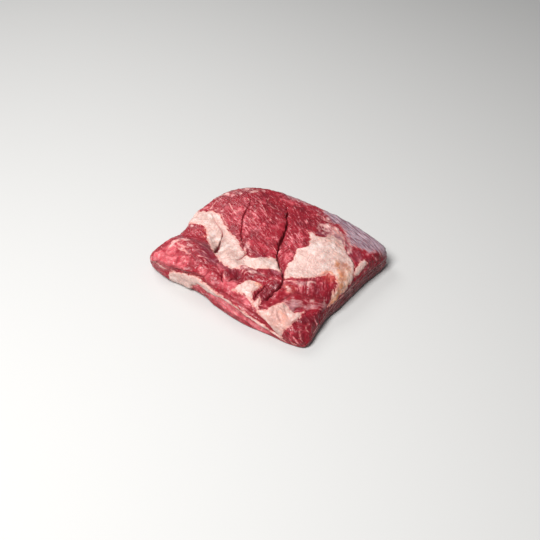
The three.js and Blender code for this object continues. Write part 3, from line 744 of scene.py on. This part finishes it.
def top_surface(share, edge):
    """The smooth top, from the crown to half way round the shoulder, with each place's share inside a gap."""
    reach = np.hypot(edge[:, 0], edge[:, 1])
    rounded_off = SHOULDER_RADIUS * (1 - math.sqrt(0.5))
    out = share * (1 - rounded_off / reach)
    over_edge = np.maximum(SHOULDER_RADIUS - (1 - out) * reach, 0)
    drop = SHOULDER_RADIUS - np.sqrt(SHOULDER_RADIUS ** 2 - over_edge ** 2)
    base = CROWN_HEIGHT + (edge[:, 2] - CROWN_HEIGHT) * out ** CROWN_POWER - drop
    plan = edge[:, :2] * out[:, None]
    inner = share < 1
    plan[inner] = gather_at_slits(plan[inner])
    depth, inside_gap = slit_depth(plan)
    height = base + soft_spots(SWELLINGS.values(), plan) - depth
    return np.column_stack([plan, height]), inside_gap


def wall_relief(chart):
    rise = np.zeros(len(chart))
    for route, half_width, amount in WALL_BANDS.values():
        rise += amount * closeness(route, half_width, chart, WALL_BAND_REACH, WALL_BAND_REACH)
    return rise


def wall_surface(edge, top_rim, side):
    """Rows of the wall, from half way round the shoulder down to the table, and their unfolded places."""
    reach = np.hypot(edge[:, 0], edge[:, 1])
    inward = -edge[:, :2] / reach[:, None]
    foot = edge[:, 3]
    height = edge[:, 2] + soft_spots(SWELLINGS.values(), edge[:, :2])
    shoulder_run = SHOULDER_RADIUS * math.pi / 4
    straight_run = height - SHOULDER_RADIUS - foot
    full_run = shoulder_run + straight_run + foot * math.pi / 2
    outward = np.array(OUTWARD)[side]
    rows = []
    unfolded = []
    for row in range(1, WALL_ROWS + 1):
        run = row / WALL_ROWS * full_run
        shoulder_turn = np.minimum(run / SHOULDER_RADIUS + math.pi / 4, math.pi / 2)
        down = np.clip(run - shoulder_run, 0, straight_run)
        foot_turn = np.clip((run - shoulder_run - straight_run) / foot, 0, math.pi / 2)
        z = height - SHOULDER_RADIUS * (1 - np.cos(shoulder_turn)) - down - foot * np.sin(foot_turn)
        inset = SHOULDER_RADIUS * (1 - np.sin(shoulder_turn)) + foot * (1 - np.cos(foot_turn))
        # the bands belong to the front wall, which faces -y
        share = smooth_step(z, 0, foot) * np.maximum(inward[:, 1], 0)
        relief = wall_relief(np.column_stack([edge[:, 0], z])) * share
        rows.append(np.column_stack([edge[:, :2] + inward * (inset - relief)[:, None], np.maximum(z, 0)]))
        unfolded.append(top_rim + outward * run[:, None])
    rows[-1][:, 2] = 0
    return np.concatenate(rows), np.concatenate(unfolded)


def strip_quads(upper, lower):
    return np.stack([upper, lower, np.roll(lower, -1), np.roll(upper, -1)], -1).tolist()


def slab():
    """Vertices, faces, and for each vertex its unfolded place, its side and its share inside a gap."""
    share, around, quads, outer = ring_grid(CELLS)
    top, inside_gap = top_surface(share, edge_at(around))
    columns = around[outer]
    side_of_column = np.floor(columns).astype(int)
    wall, unfolded_wall = wall_surface(edge_at(columns), top[outer, :2], side_of_column)
    count = len(columns)
    faces = quads.tolist()
    upper = outer
    for row in range(WALL_ROWS):
        lower = len(top) + row * count + np.arange(count)
        faces += strip_quads(upper, lower)
        upper = lower

    # the underside: two rings that drop every other vertex, then plain rings to the middle
    rim = wall[-count:]
    middle = rim.mean(0)
    points = [top, wall]
    total = len(top) + len(wall)
    for inset in UNDERSIDE_INSETS:
        rim = middle + (rim[::2] - middle) * inset
        lower = total + np.arange(len(rim))
        following = np.roll(lower, -1)
        even, odd, next_even = upper[::2], upper[1::2], np.roll(upper, -2)[::2]
        for corners in ((even, lower, odd), (odd, lower, following), (odd, following, next_even)):
            faces += np.stack(corners, -1).tolist()
        points.append(rim)
        total += len(rim)
        upper = lower
    for ring_share in np.linspace(1, 0, UNDERSIDE_RINGS + 1)[1:-1]:
        lower = total + np.arange(len(upper))
        faces += strip_quads(upper, lower)
        points.append(middle + (rim - middle) * ring_share)
        total += len(upper)
        upper = lower
    points.append(middle[None])
    faces += [(a, total, b) for a, b in zip(upper.tolist(), np.roll(upper, -1).tolist())]

    vertices = np.concatenate(points)
    unfolded = vertices[:, :2] + UNDERSIDE_PLACE
    unfolded[:len(top)] = top[:, :2]
    unfolded[len(top):len(top) + len(wall)] = unfolded_wall
    side = np.full(len(vertices), UNDERSIDE)
    side[:len(top)] = TOP
    side[len(top):len(top) + len(wall)] = np.tile(side_of_column, WALL_ROWS)
    gaps = np.zeros(len(vertices))
    gaps[:len(top)] = inside_gap
    return vertices, faces, unfolded, side, gaps


def vertex_normals(vertices, faces):
    corners = np.array([face if len(face) == 4 else (*face, face[-1]) for face in faces])
    a, b, c, d = (vertices[corners[:, corner]] for corner in range(4))
    facing = np.cross(c - a, d - b)
    triangle = corners[:, 2] == corners[:, 3]
    facing[triangle] = np.cross(b - a, c - a)[triangle]
    normals = np.zeros_like(vertices)
    for corner in range(4):
        np.add.at(normals, corners[:, corner], facing)
    return normals / np.maximum(np.linalg.norm(normals, axis=1), ALMOST)[:, None]


def fat_fields(unfolded, ragged):
    """Distance in mm to the nearest edge of the fat, positive inside, and the rise of the fat there."""
    distance = np.full(len(unfolded), -SHEET_REACH)
    rise = np.zeros(len(unfolded))
    for thickness, outline in FAT_SHEETS.values():
        inside = distance_inside(outline, unfolded) + ragged
        rise = np.maximum(rise, thickness * smooth_step(inside, 0, FAT_EDGE))
        distance = np.maximum(distance, inside)
    for thickness, route in FAT_SEAMS.values():
        gap, foot, before, after = nearest_on(smooth_route(route), unfolded, SHEET_REACH)
        inside = foot[:, 2] - gap + SEAM_RAGGED * ragged - SEAM_END * (1 - taper(before, after, SEAM_TAPER))
        rise = np.maximum(rise, thickness * smooth_step(inside, 0, FAT_EDGE))
        distance = np.maximum(distance, inside)
    return np.minimum(distance, THICK_FAT) - soft_spots(THIN_FAT, unfolded), rise


def film_fields(unfolded, ragged):
    """Distance in mm to the nearest edge of the membrane, positive inside, and how bluish it is there."""
    distance = np.full(len(unfolded), -SHEET_REACH)
    coolness = np.zeros(len(unfolded))
    for cool, outline in FILM_SHEETS.values():
        inside = distance_inside(outline, unfolded) + ragged
        coolness[inside > distance] = cool
        distance = np.maximum(distance, inside)
    return distance, coolness


def line_field(lines, places):
    """How close each place is to a set of lines, from 0 to 1, and the greatest of their depths there."""
    share = np.zeros(len(places))
    depth = np.zeros(len(places))
    for route, half_width, *rest in lines.values():
        line = closeness(route, half_width, places, LINE_REACH, LINE_TAPER)
        share = np.maximum(share, line)
        if rest:
            depth = np.maximum(depth, rest[0] * line)
    return share, depth


def grain_places(unfolded):
    """Each vertex's place along and across the fibres of its own muscle, in mm."""
    turn = np.full(len(unfolded), float(DOME_TURN))
    for muscle_turn, outline in FIBRE_TURNS.values():
        turn[distance_inside(outline, unfolded) > 0] = muscle_turn
    angle = np.radians(turn)
    along = unfolded[:, 0] * np.cos(angle) + unfolded[:, 1] * np.sin(angle)
    across = unfolded[:, 1] * np.cos(angle) - unfolded[:, 0] * np.sin(angle)
    return np.column_stack([along, across, np.zeros(len(unfolded))])


def surface_fields(vertices, unfolded, side, gaps):
    """What the material reads at each vertex, and what only the relief needs."""
    ragged = layer("ragged fat edge", vertices)
    fat, fat_rise = fat_fields(unfolded, ragged)
    film, coolness = film_fields(unfolded, ragged)
    pink = soft_share(PINKS, unfolded)
    wet_lumps = bundles(vertices, *WET_LUMPS)
    bump, moat = rounded_lumps(unfolded)
    strand, _ = line_field(STRANDS, unfolded)
    _, crease = line_field(CREASES, unfolded)
    between_lumps = WET_FURROW * pink * smooth_step(WET_FURROW_START - wet_lumps, 0, WET_FURROW_RUN)
    fields = {
        "fat": fat, "film": film, "film_cool": coolness, "tone": soft_spots(MUSCLE_TONES_AND_PAINTED_LIGHT, unfolded), "pink": pink,
        # the furrow and gap fields carry the depth of creases and slits, which the material paints as shade
        "furrow": np.maximum.reduce([crease, moat, between_lumps * (side == TOP)]), "gap": gaps,
        "strand": strand, "grain": grain_places(unfolded),
    }
    for name, spots in SOFT_FIELDS.items():
        fields[name] = soft_share(spots, unfolded)
    return fields, {"fat_rise": fat_rise, "wet_lumps": wet_lumps, "bump": bump}


def fine_relief(vertices, side, fields, hidden):
    """Rise along the normal: fibre bundles in the muscle, lobules in the fat, folds and furrows."""
    grain = fields["grain"]
    pink = fields["pink"]
    swells = layer("broad swells", vertices)
    fibres = layer("coarse fibres", grain) + layer("fine fibres", grain)
    fibres += BUNDLE_RISE * (bundles(grain, *FIBRE_BUNDLES) - BUNDLE_MIDDLE)
    muscle = SWELLS_OF_TOP * swells + fibres * (1 - FIBRES_LOST_WHEN_WET * pink)
    folds = WET_LUMP_RISE * (hidden["wet_lumps"] - BUNDLE_MIDDLE) + layer("small folds", vertices)
    muscle += folds * np.clip(pink + FOLDS_IN_WEBS * fields["web"] + FOLDS_IN_VEILS * fields["veil"], 0, 1)
    layers = layer("wall layers", grain) + layer("wall grit", vertices) + SWELLS_OF_WALLS * swells
    muscle = np.where(side >= 0, layers + FOLDS_OF_WALLS * folds * pink, muscle)
    lobules = LOBULE_RISE * bundles(vertices, *LOBULES)
    lobules += layer("fat lumps", vertices) + layer("fat swells", vertices)
    fat_share = smooth_step(fields["fat"], 0, FAT_EDGE)
    rise = muscle * (1 - fat_share) + lobules * fat_share + hidden["fat_rise"] + hidden["bump"]
    rise += STRAND_RISE * fields["strand"] - fields["furrow"]
    rise *= 1 - SMOOTH_IN_GAPS * np.clip(fields["gap"], 0, 1)
    return rise * smooth_step(vertices[:, 2], *TABLE_FADE) * (side != UNDERSIDE)


def srgb(code):
    """A colour as linear RGBA from its sRGB hex code."""
    channels = [int(code[start:start + 2], 16) / 255 for start in (1, 3, 5)]
    return [c / 12.92 if c <= 0.04045 else ((c + 0.055) / 1.055) ** 2.4 for c in channels] + [1.0]


def add(tree, kind, settings, inputs):
    """Adds a node with its settings, and puts a value, a colour code or a node's output in each input."""
    node = tree.nodes.new(kind)
    for name, value in settings.items():
        setattr(node, name, value)
    for socket, value in inputs.items():
        if isinstance(value, bpy.types.NodeSocket):
            tree.links.new(value, node.inputs[socket])
        else:
            node.inputs[socket].default_value = srgb(value) if isinstance(value, str) else value
    return node


# Patterns in the flesh and fat: where they are measured, the size in mm along, across and through, detail
# and distortion. Fibre bundles of brisket are 1 to 3 mm thick, which is as fine as the picture shows
PATTERNS = {
    "patches": ("Object", (24, 24, 24), 3, 0.0),
    "mottles": ("Object", (8, 8, 8), 3, 0.0),
    "specks": ("Object", (2.6, 2.6, 2.6), 2, 0.0),
    "clouds": ("Object", (12, 12, 12), 2, 0.0),
    "veins": ("Object", (12, 12, 12), 2, 0.9),
    "fibres": ("grain", (13, 3.0, 1), 2, 0.7),
    "fine fibres": ("grain", (6, 1.6, 1), 1, 0.5),
    "streaks": ("grain", (20, 2.6, 1), 4, 1.4),
    "wet": ("Object", (5, 5, 5), 3, 0.0),
}
# Each pattern starts this far from the one before it, in metres
PATTERN_SHIFT = (0.37, 0.23, 0)
# The middle of a pattern's range, through which a coat's first tint turns to its second, and dry spots to wet
MIDDLE_RANGE = (0.35, 0.65)
MIDDLE_VALUE = 0.5

# Coats of colour, the lowest first: two colours that mottle into each other and the pattern that does it,
# the field and its share, the pattern added to it, where the sum starts and is full, and the strength
FLESH = "#8e1b28"
FLESH_COATS = [
    # deeper red and lighter red follow the tone field, so they also paint the right wall's shade and the
    # ridge's highlight
    ("deeper red", "#5a0c18", "#6b1522", "mottles", "tone", -0.20, "patches", 0.42, 0.80, 0.9),
    ("lighter red", "#a82a38", "#bf4450", "mottles", "tone", 0.20, "mottles", 0.50, 0.72, 0.75),
    ("dark between fibres", "#66121d", "#7a1a26", "specks", "stroke", -0.05, "fibres", 0.43, 0.32, 0.6),
    # the cut fibres show pale, and these two coats also paint the small glints along them
    ("cut fibres", "#bc4c57", "#e4989a", "specks", "stroke", 0.10, "fibres", 0.60, 0.74, 0.8),
    ("fine cut fibres", "#bb4c58", "#e09096", "mottles", "stroke", 0.10, "fine fibres", 0.63, 0.80, 0.5),
    ("dried purple flesh", "#58202e", "#8a4450", "mottles", "purple", 0.45, "mottles", 0.58, 1.0, 0.7),
    ("wet pink flesh", "#b43643", "#dc747b", "mottles", "pink", 0.6, "patches", 0.62, 1.0, 0.9),
    ("orange raw edge", "#ac3833", "#cc6456", "mottles", "blush", 0.6, "mottles", 0.74, 1.25, 0.55),
    # painted highlights: pale spots on the wet pink where its wet pattern peaks
    ("painted highlights in the pink", "#e0868a", "#f0b4b0", "specks", "pink", 0.12, "wet", 0.66, 0.84, 0.5),
    # the veil coat also paints the highlight on the ridge, where the veil field holds it
    ("veil of thin fat", "#a96a72", "#dcb2aa", "mottles", "veil", 0.42, "mottles", 0.62, 0.98, 0.85),
    ("pink membrane", "#954f59", "#c28a89", "streaks", "film", 0.08, "streaks", 0.46, 0.9, 0.85),
]
FAT = "#d3b0a7"
FAT_COATS = [
    ("yellowed fat", "#a4562c", "#c87c42", "clouds", "yellow", 0.6, "mottles", 0.60, 1.05, 0.85),
    ("rosy fat", "#c88478", "#dba295", "mottles", "rose", 0.5, "clouds", 0.56, 1.05, 0.8),
    ("raw thin fat", "#d4705c", "#e49a84", "mottles", "blush", 0.55, "mottles", 0.66, 1.1, 0.85),
    # painted shade: greys the fat under the purple spots, most of all the left fat lying in the valley
    ("greyish fat of painted shade", "#a07f77", "#bd9b91", "mottles", "purple", 0.6, "clouds", 0.58, 1.1, 0.85),
    ("veins", "#a37a76", "#b58780", "clouds", "rose", -0.03, "vein lines", 0.07, 0.01, 0.4),
    ("flesh through thin fat", "#7d4854", "#a56f72", "specks", "veil", 0.45, "mottles", 0.74, 0.92, 0.85),
    ("pores", "#a07c78", "#b4857e", "clouds", "rose", 0.02, "specks", 0.62, 0.76, 0.4),
    ("waxy lights", "#eed8d0", "#f4e6e0", "clouds", "rose", -0.10, "clouds", 0.45, 0.75, 0.5),
]

# The bluish membrane: tints of its wrinkles and the band of the streaks that blends them, what each mm inside
# its edge adds to the mottles, and the band of that sum through which it thickens
MEMBRANE_DARK = "#75535e"
MEMBRANE_LIGHT = "#ac949d"
MEMBRANE_STREAKS = (0.34, 0.66)
MEMBRANE_PER_MM = 0.06
MEMBRANE_EDGE = (0.48, 0.95)

# Webs of pale tissue: size of a cell in mm and its stretch, the waves to a cell that bend it and their pull,
# how far a strong web widens the edges of the cells, the band of such an edge, and the strength
PALE_TISSUE = "#d8948f"
WEB_CELL = 7.5
WEB_STRETCH = (1.5, 1.0, 1.0)
WEB_WAVES = 1.3
WEB_BEND = 0.14
WEB_WIDTH = -0.22
WEB_EDGE = (-0.02, -0.21)
WEB_STRENGTH = 0.6
# Strands along the listed routes: how much the mottles break them up, the band of the sum, and the strength
STRAND_MOTTLES = 1.6
STRAND_EDGE = (1.0, 1.8)
STRAND_STRENGTH = 0.8

# The ragged edge of the fat: mm by which specks and fibres shift it, and the bands of its red and its fat
RED_EDGE = "#cc8880"
EDGE_SPECKS = 3.0
EDGE_FIBRES = 5.0
RED_EDGE_BAND = (4.2, 6.4)
FAT_BAND = (3.5, 4.6)

# Painted shade in the furrows and gaps, also dull: the field with its band in mm or as a share, the strength
# and the colour
PAINTED_SHADE_IN_HOLLOWS = {"furrow": (0.3, 1.7, 0.8, "#861724"), "gap": (0.05, 0.8, 0.95, "#6b101b")}
# How rough the painted shade in furrows and gaps, drier spots and wet spots are
DULL = 0.8
DRY_SPOT = 0.42
WET_SPOT = 0.2

# Fine relief of the surface: shares of its patterns, depth of a wrinkle, and the height in mm of the whole
FINE_FIBRE_SHARE = 0.6
WRINKLE_WIDTH = 0.1
WRINKLE_DEPTH = 0.3
SURFACE_RELIEF = 0.95
SURFACE_STRENGTH = 0.8

# Wet muscle: refraction of its water, and light that spreads through it, furthest in the red
MEAT_IOR = 1.38
GLOW_SHARE = 0.12
GLOW_COLOURS = (1.0, 0.3, 0.2)
GLOW_REACH = 2.0

EASED = {"interpolation_type": "SMOOTHSTEP"}
WEIGHTED_SUM = {"operation": "MULTIPLY_ADD"}
COLOURS = {"data_type": "RGBA"}


def surface_patterns(tree, places):
    """The strength of every pattern, each at its real size."""
    patterns = {}
    for order, (name, (place, sizes, detail, distortion)) in enumerate(PATTERNS.items()):
        scale = [size * MM for size in sizes]
        start = [order * shift for shift in PATTERN_SHIFT]
        mapping = add(tree, "ShaderNodeMapping", {"vector_type": "TEXTURE"},
                      {"Vector": places[place], "Scale": scale, "Location": start})
        noise = add(tree, "ShaderNodeTexNoise", {},
                    {"Vector": mapping.outputs[0], "Scale": 1.0, "Detail": detail, "Distortion": distortion})
        patterns[name] = noise.outputs["Fac"]
    # small wrinkles of the fat lie where its vein pattern crosses its middle value
    off_line = add(tree, "ShaderNodeMath", {"operation": "SUBTRACT"}, {0: patterns["veins"], 1: MIDDLE_VALUE})
    lines = add(tree, "ShaderNodeMath", {"operation": "ABSOLUTE"}, {0: off_line.outputs[0]})
    patterns["vein lines"] = lines.outputs[0]
    return patterns


def eased_share(tree, value, weight, added, band, strength=1.0):
    """A value times its weight, with another added, as a share that grows through a band up to a strength."""
    summed = add(tree, "ShaderNodeMath", WEIGHTED_SUM, {0: value, 1: weight, 2: added}).outputs[0]
    return add(tree, "ShaderNodeMapRange", EASED, {0: summed, 1: band[0], 2: band[1], 4: strength}).outputs[0]


def coated(tree, base, coats, fields, patterns):
    """A base colour with every coat over it, each in a colour that its two tints mottle into."""
    colour = srgb(base)
    middle_start, middle_end = MIDDLE_RANGE
    for _, dark, light, mottle, field, weight, pattern, start, full, strength in coats:
        share = eased_share(tree, fields[field], weight, patterns[pattern], (start, full), strength)
        spread = add(tree, "ShaderNodeMapRange", {}, {0: patterns[mottle], 1: middle_start, 2: middle_end})
        tint = add(tree, "ShaderNodeMix", COLOURS, {0: spread.outputs[0], 6: dark, 7: light}).outputs[2]
        colour = add(tree, "ShaderNodeMix", COLOURS, {0: share, 6: colour, 7: tint}).outputs[2]
    return colour


def bluish_membrane(tree, flesh, fields, patterns):
    """The thin tight skin of the back corner, pale blue-grey and streaked by its wrinkles."""
    start, end = MEMBRANE_STREAKS
    streaks = add(tree, "ShaderNodeMapRange", EASED, {0: patterns["streaks"], 1: start, 2: end}).outputs[0]
    silver = add(tree, "ShaderNodeMix", COLOURS, {0: streaks, 6: MEMBRANE_DARK, 7: MEMBRANE_LIGHT}).outputs[2]
    skin = eased_share(tree, fields["film"], MEMBRANE_PER_MM, patterns["mottles"], MEMBRANE_EDGE)
    share = add(tree, "ShaderNodeMath", {"operation": "MULTIPLY"}, {0: skin, 1: fields["film_cool"]})
    return add(tree, "ShaderNodeMix", COLOURS, {0: share.outputs[0], 6: flesh, 7: silver}).outputs[2]


def pale_tissue(tree, flesh, fields, patterns, places):
    """Whitish tissue: edges of cells, where the web is strong, and strands along the listed routes."""
    scale = [WEB_CELL * MM * share for share in WEB_STRETCH]
    straight = add(tree, "ShaderNodeMapping", {"vector_type": "TEXTURE"},
                   {"Vector": places["Object"], "Scale": scale}).outputs[0]
    waves = add(tree, "ShaderNodeTexNoise", {}, {"Vector": straight, "Scale": WEB_WAVES}).outputs["Color"]
    bent = add(tree, "ShaderNodeMix", {"data_type": "VECTOR"}, {0: WEB_BEND, 4: straight, 5: waves})
    cells = add(tree, "ShaderNodeTexVoronoi", {"feature": "DISTANCE_TO_EDGE"},
                {"Vector": bent.outputs[1], "Scale": 1.0}).outputs["Distance"]
    web = eased_share(tree, fields["web"], WEB_WIDTH, cells, WEB_EDGE, WEB_STRENGTH)
    laid = eased_share(tree, patterns["mottles"], STRAND_MOTTLES, fields["strand"],
                       STRAND_EDGE, STRAND_STRENGTH)
    share = add(tree, "ShaderNodeMath", {"operation": "MAXIMUM"}, {0: web, 1: laid}).outputs[0]
    return add(tree, "ShaderNodeMix", COLOURS, {0: share, 6: flesh, 7: PALE_TISSUE}).outputs[2]


def fat_over_flesh(tree, flesh, fat, fields, patterns):
    """Fat over the flesh with a ragged edge, where the red shines through, and the share of the fat."""
    specked = add(tree, "ShaderNodeMath", WEIGHTED_SUM,
                  {0: patterns["specks"], 1: EDGE_SPECKS, 2: fields["fat"]}).outputs[0]
    edge = eased_share(tree, patterns["fibres"], EDGE_FIBRES, specked, RED_EDGE_BAND)
    share = eased_share(tree, patterns["fibres"], EDGE_FIBRES, specked, FAT_BAND)
    fat = add(tree, "ShaderNodeMix", COLOURS, {0: edge, 6: RED_EDGE, 7: fat}).outputs[2]
    return add(tree, "ShaderNodeMix", COLOURS, {0: share, 6: flesh, 7: fat}).outputs[2], share


def surface_relief(tree, patterns, fat_share):
    """Fibres in the muscle, and pores and small wrinkles in the fat."""
    cut = add(tree, "ShaderNodeMath", WEIGHTED_SUM,
              {0: patterns["fine fibres"], 1: FINE_FIBRE_SHARE, 2: patterns["fibres"]}).outputs[0]
    cut = add(tree, "ShaderNodeMath", {"operation": "ADD"}, {0: patterns["wet"], 1: cut}).outputs[0]
    wrinkle = add(tree, "ShaderNodeMapRange", {},
                  {0: patterns["vein lines"], 1: 0, 2: WRINKLE_WIDTH, 4: WRINKLE_DEPTH}).outputs[0]
    pores = add(tree, "ShaderNodeMath", {"operation": "ADD"}, {0: patterns["specks"], 1: wrinkle}).outputs[0]
    height = add(tree, "ShaderNodeMix", {}, {0: fat_share, 2: cut, 3: pores}).outputs[0]
    return add(tree, "ShaderNodeBump", {},
               {"Strength": SURFACE_STRENGTH, "Distance": SURFACE_RELIEF * MM, "Height": height}).outputs[0]


def raw_beef_and_fat(field_names):
    """Fresh raw beef, cut and wet: crimson muscle with pale fibres, creamy fat, a thin bluish membrane."""
    material = bpy.data.materials.new("raw_beef_fresh_cut")
    material.use_nodes = True
    tree = material.node_tree
    shader = tree.nodes["Principled BSDF"]
    fields = {}
    for name in field_names:
        fields[name] = add(tree, "ShaderNodeAttribute", {"attribute_name": name}, {}).outputs["Fac"]
    places = {
        "Object": add(tree, "ShaderNodeTexCoord", {}, {}).outputs["Object"],
        "grain": add(tree, "ShaderNodeAttribute", {"attribute_name": "grain"}, {}).outputs["Vector"],
    }
    patterns = surface_patterns(tree, places)
    flesh = coated(tree, FLESH, FLESH_COATS, fields, patterns)
    flesh = bluish_membrane(tree, flesh, fields, patterns)
    flesh = pale_tissue(tree, flesh, fields, patterns, places)
    fat = coated(tree, FAT, FAT_COATS, fields, patterns)
    colour, fat_share = fat_over_flesh(tree, flesh, fat, fields, patterns)

    # wet all over, with drier spots, and painted shade, made dull, in the furrows and slits
    start, end = MIDDLE_RANGE
    roughness = add(tree, "ShaderNodeMapRange", {},
                    {0: patterns["wet"], 1: start, 2: end, 3: DRY_SPOT, 4: WET_SPOT}).outputs[0]
    for field, (start, full, strength, shade_tint) in PAINTED_SHADE_IN_HOLLOWS.items():
        share = add(tree, "ShaderNodeMapRange", EASED,
                    {0: fields[field], 1: start, 2: full, 4: strength}).outputs[0]
        colour = add(tree, "ShaderNodeMix", COLOURS, {0: share, 6: colour, 7: shade_tint}).outputs[2]
        roughness = add(tree, "ShaderNodeMix", {}, {0: share, 2: roughness, 3: DULL}).outputs[0]
    tree.links.new(colour, shader.inputs["Base Color"])
    tree.links.new(roughness, shader.inputs["Roughness"])
    tree.links.new(surface_relief(tree, patterns, fat_share), shader.inputs["Normal"])
    shader.inputs["IOR"].default_value = MEAT_IOR
    shader.inputs["Subsurface Weight"].default_value = GLOW_SHARE
    shader.inputs["Subsurface Radius"].default_value = GLOW_COLOURS
    shader.inputs["Subsurface Scale"].default_value = GLOW_REACH * MM
    return material


def brisket():
    """The whole slab as one mesh, with the fields that its material reads."""
    vertices, faces, unfolded, side, gaps = slab()
    fields, hidden = surface_fields(vertices, unfolded, side, gaps)
    rise = fine_relief(vertices, side, fields, hidden)
    vertices = vertices + vertex_normals(vertices, faces) * rise[:, None]
    low, high = vertices.min(0), vertices.max(0)
    shift = (low + high) / 2 * (1, 1, 0)

    mesh = bpy.data.meshes.new("brisket_flesh")
    mesh.from_pydata(((vertices - shift) * MM).tolist(), [], faces)
    mesh.polygons.foreach_set("use_smooth", [True] * len(mesh.polygons))
    grain = (fields.pop("grain") * MM).astype(np.float32).ravel()
    mesh.attributes.new("grain", "FLOAT_VECTOR", "POINT").data.foreach_set("vector", grain)
    for name, values in fields.items():
        mesh.attributes.new(name, "FLOAT", "POINT").data.foreach_set("value", values.astype(np.float32))
    mesh.materials.append(raw_beef_and_fat(fields))
    mesh.update()
    piece = bpy.data.objects.new("brisket_flesh", mesh)
    bpy.context.scene.collection.objects.link(piece)
    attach(piece, "root")
    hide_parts("brisket")
    return shift


def looking_back(azimuth, elevation):
    """The direction from the slab to a camera or a light: 0 azimuth is the front, and 90 the right side."""
    turn, rise = math.radians(azimuth), math.radians(elevation)
    return Vector((math.sin(turn) * math.cos(rise), -math.cos(turn) * math.cos(rise), math.sin(rise)))


def camera(shift):
    data = bpy.data.cameras.new("camera")
    data.lens = LENS
    data.sensor_width = FRAME_WIDTH
    data.clip_end = FAR_LIMIT
    view = bpy.data.objects.new("camera", data)
    bpy.context.scene.collection.objects.link(view)
    back = looking_back(CAMERA_AZIMUTH, CAMERA_ELEVATION)
    aim = Vector((AIM[0] - shift[0], AIM[1] - shift[1], 0)) * MM
    view.location = aim + back * CAMERA_DISTANCE * MM
    view.rotation_euler = back.to_track_quat("Z", "Y").to_euler()
    bpy.context.scene.camera = view


def floor():
    """A plain pale floor in matt paint, too dull to mirror the slab."""
    mesh = bpy.data.meshes.new("floor")
    corners = [(x * FLOOR_HALF, y * FLOOR_HALF, 0) for x, y in ((-1, -1), (1, -1), (1, 1), (-1, 1))]
    mesh.from_pydata(corners, [], [(0, 1, 2, 3)])
    paint = bpy.data.materials.new("matt_painted_floor")
    paint.use_nodes = True
    shader = paint.node_tree.nodes["Principled BSDF"]
    shader.inputs["Base Color"].default_value = srgb(FLOOR_COLOUR)
    shader.inputs["Roughness"].default_value = FLOOR_ROUGHNESS
    mesh.materials.append(paint)
    ground = bpy.data.objects.new("floor", mesh)
    bpy.context.scene.collection.objects.link(ground)


def lights():
    """Two square softboxes over the slab, and a dim even studio round it."""
    for name, (azimuth, elevation, distance, width, watts) in SOFTBOXES.items():
        data = bpy.data.lights.new(name, "AREA")
        data.size = width
        data.energy = watts
        lamp = bpy.data.objects.new(name, data)
        bpy.context.scene.collection.objects.link(lamp)
        back = looking_back(azimuth, elevation)
        lamp.location = back * distance
        lamp.rotation_euler = back.to_track_quat("Z", "Y").to_euler()
    world = bpy.data.worlds.new("studio")
    world.use_nodes = True
    world.node_tree.nodes["Background"].inputs["Color"].default_value = STUDIO_TINT
    world.node_tree.nodes["Background"].inputs["Strength"].default_value = STUDIO_STRENGTH
    bpy.context.scene.world = world
    bpy.context.scene.view_settings.view_transform = "Standard"


plan_shift = brisket()
camera(plan_shift)
floor()
lights()
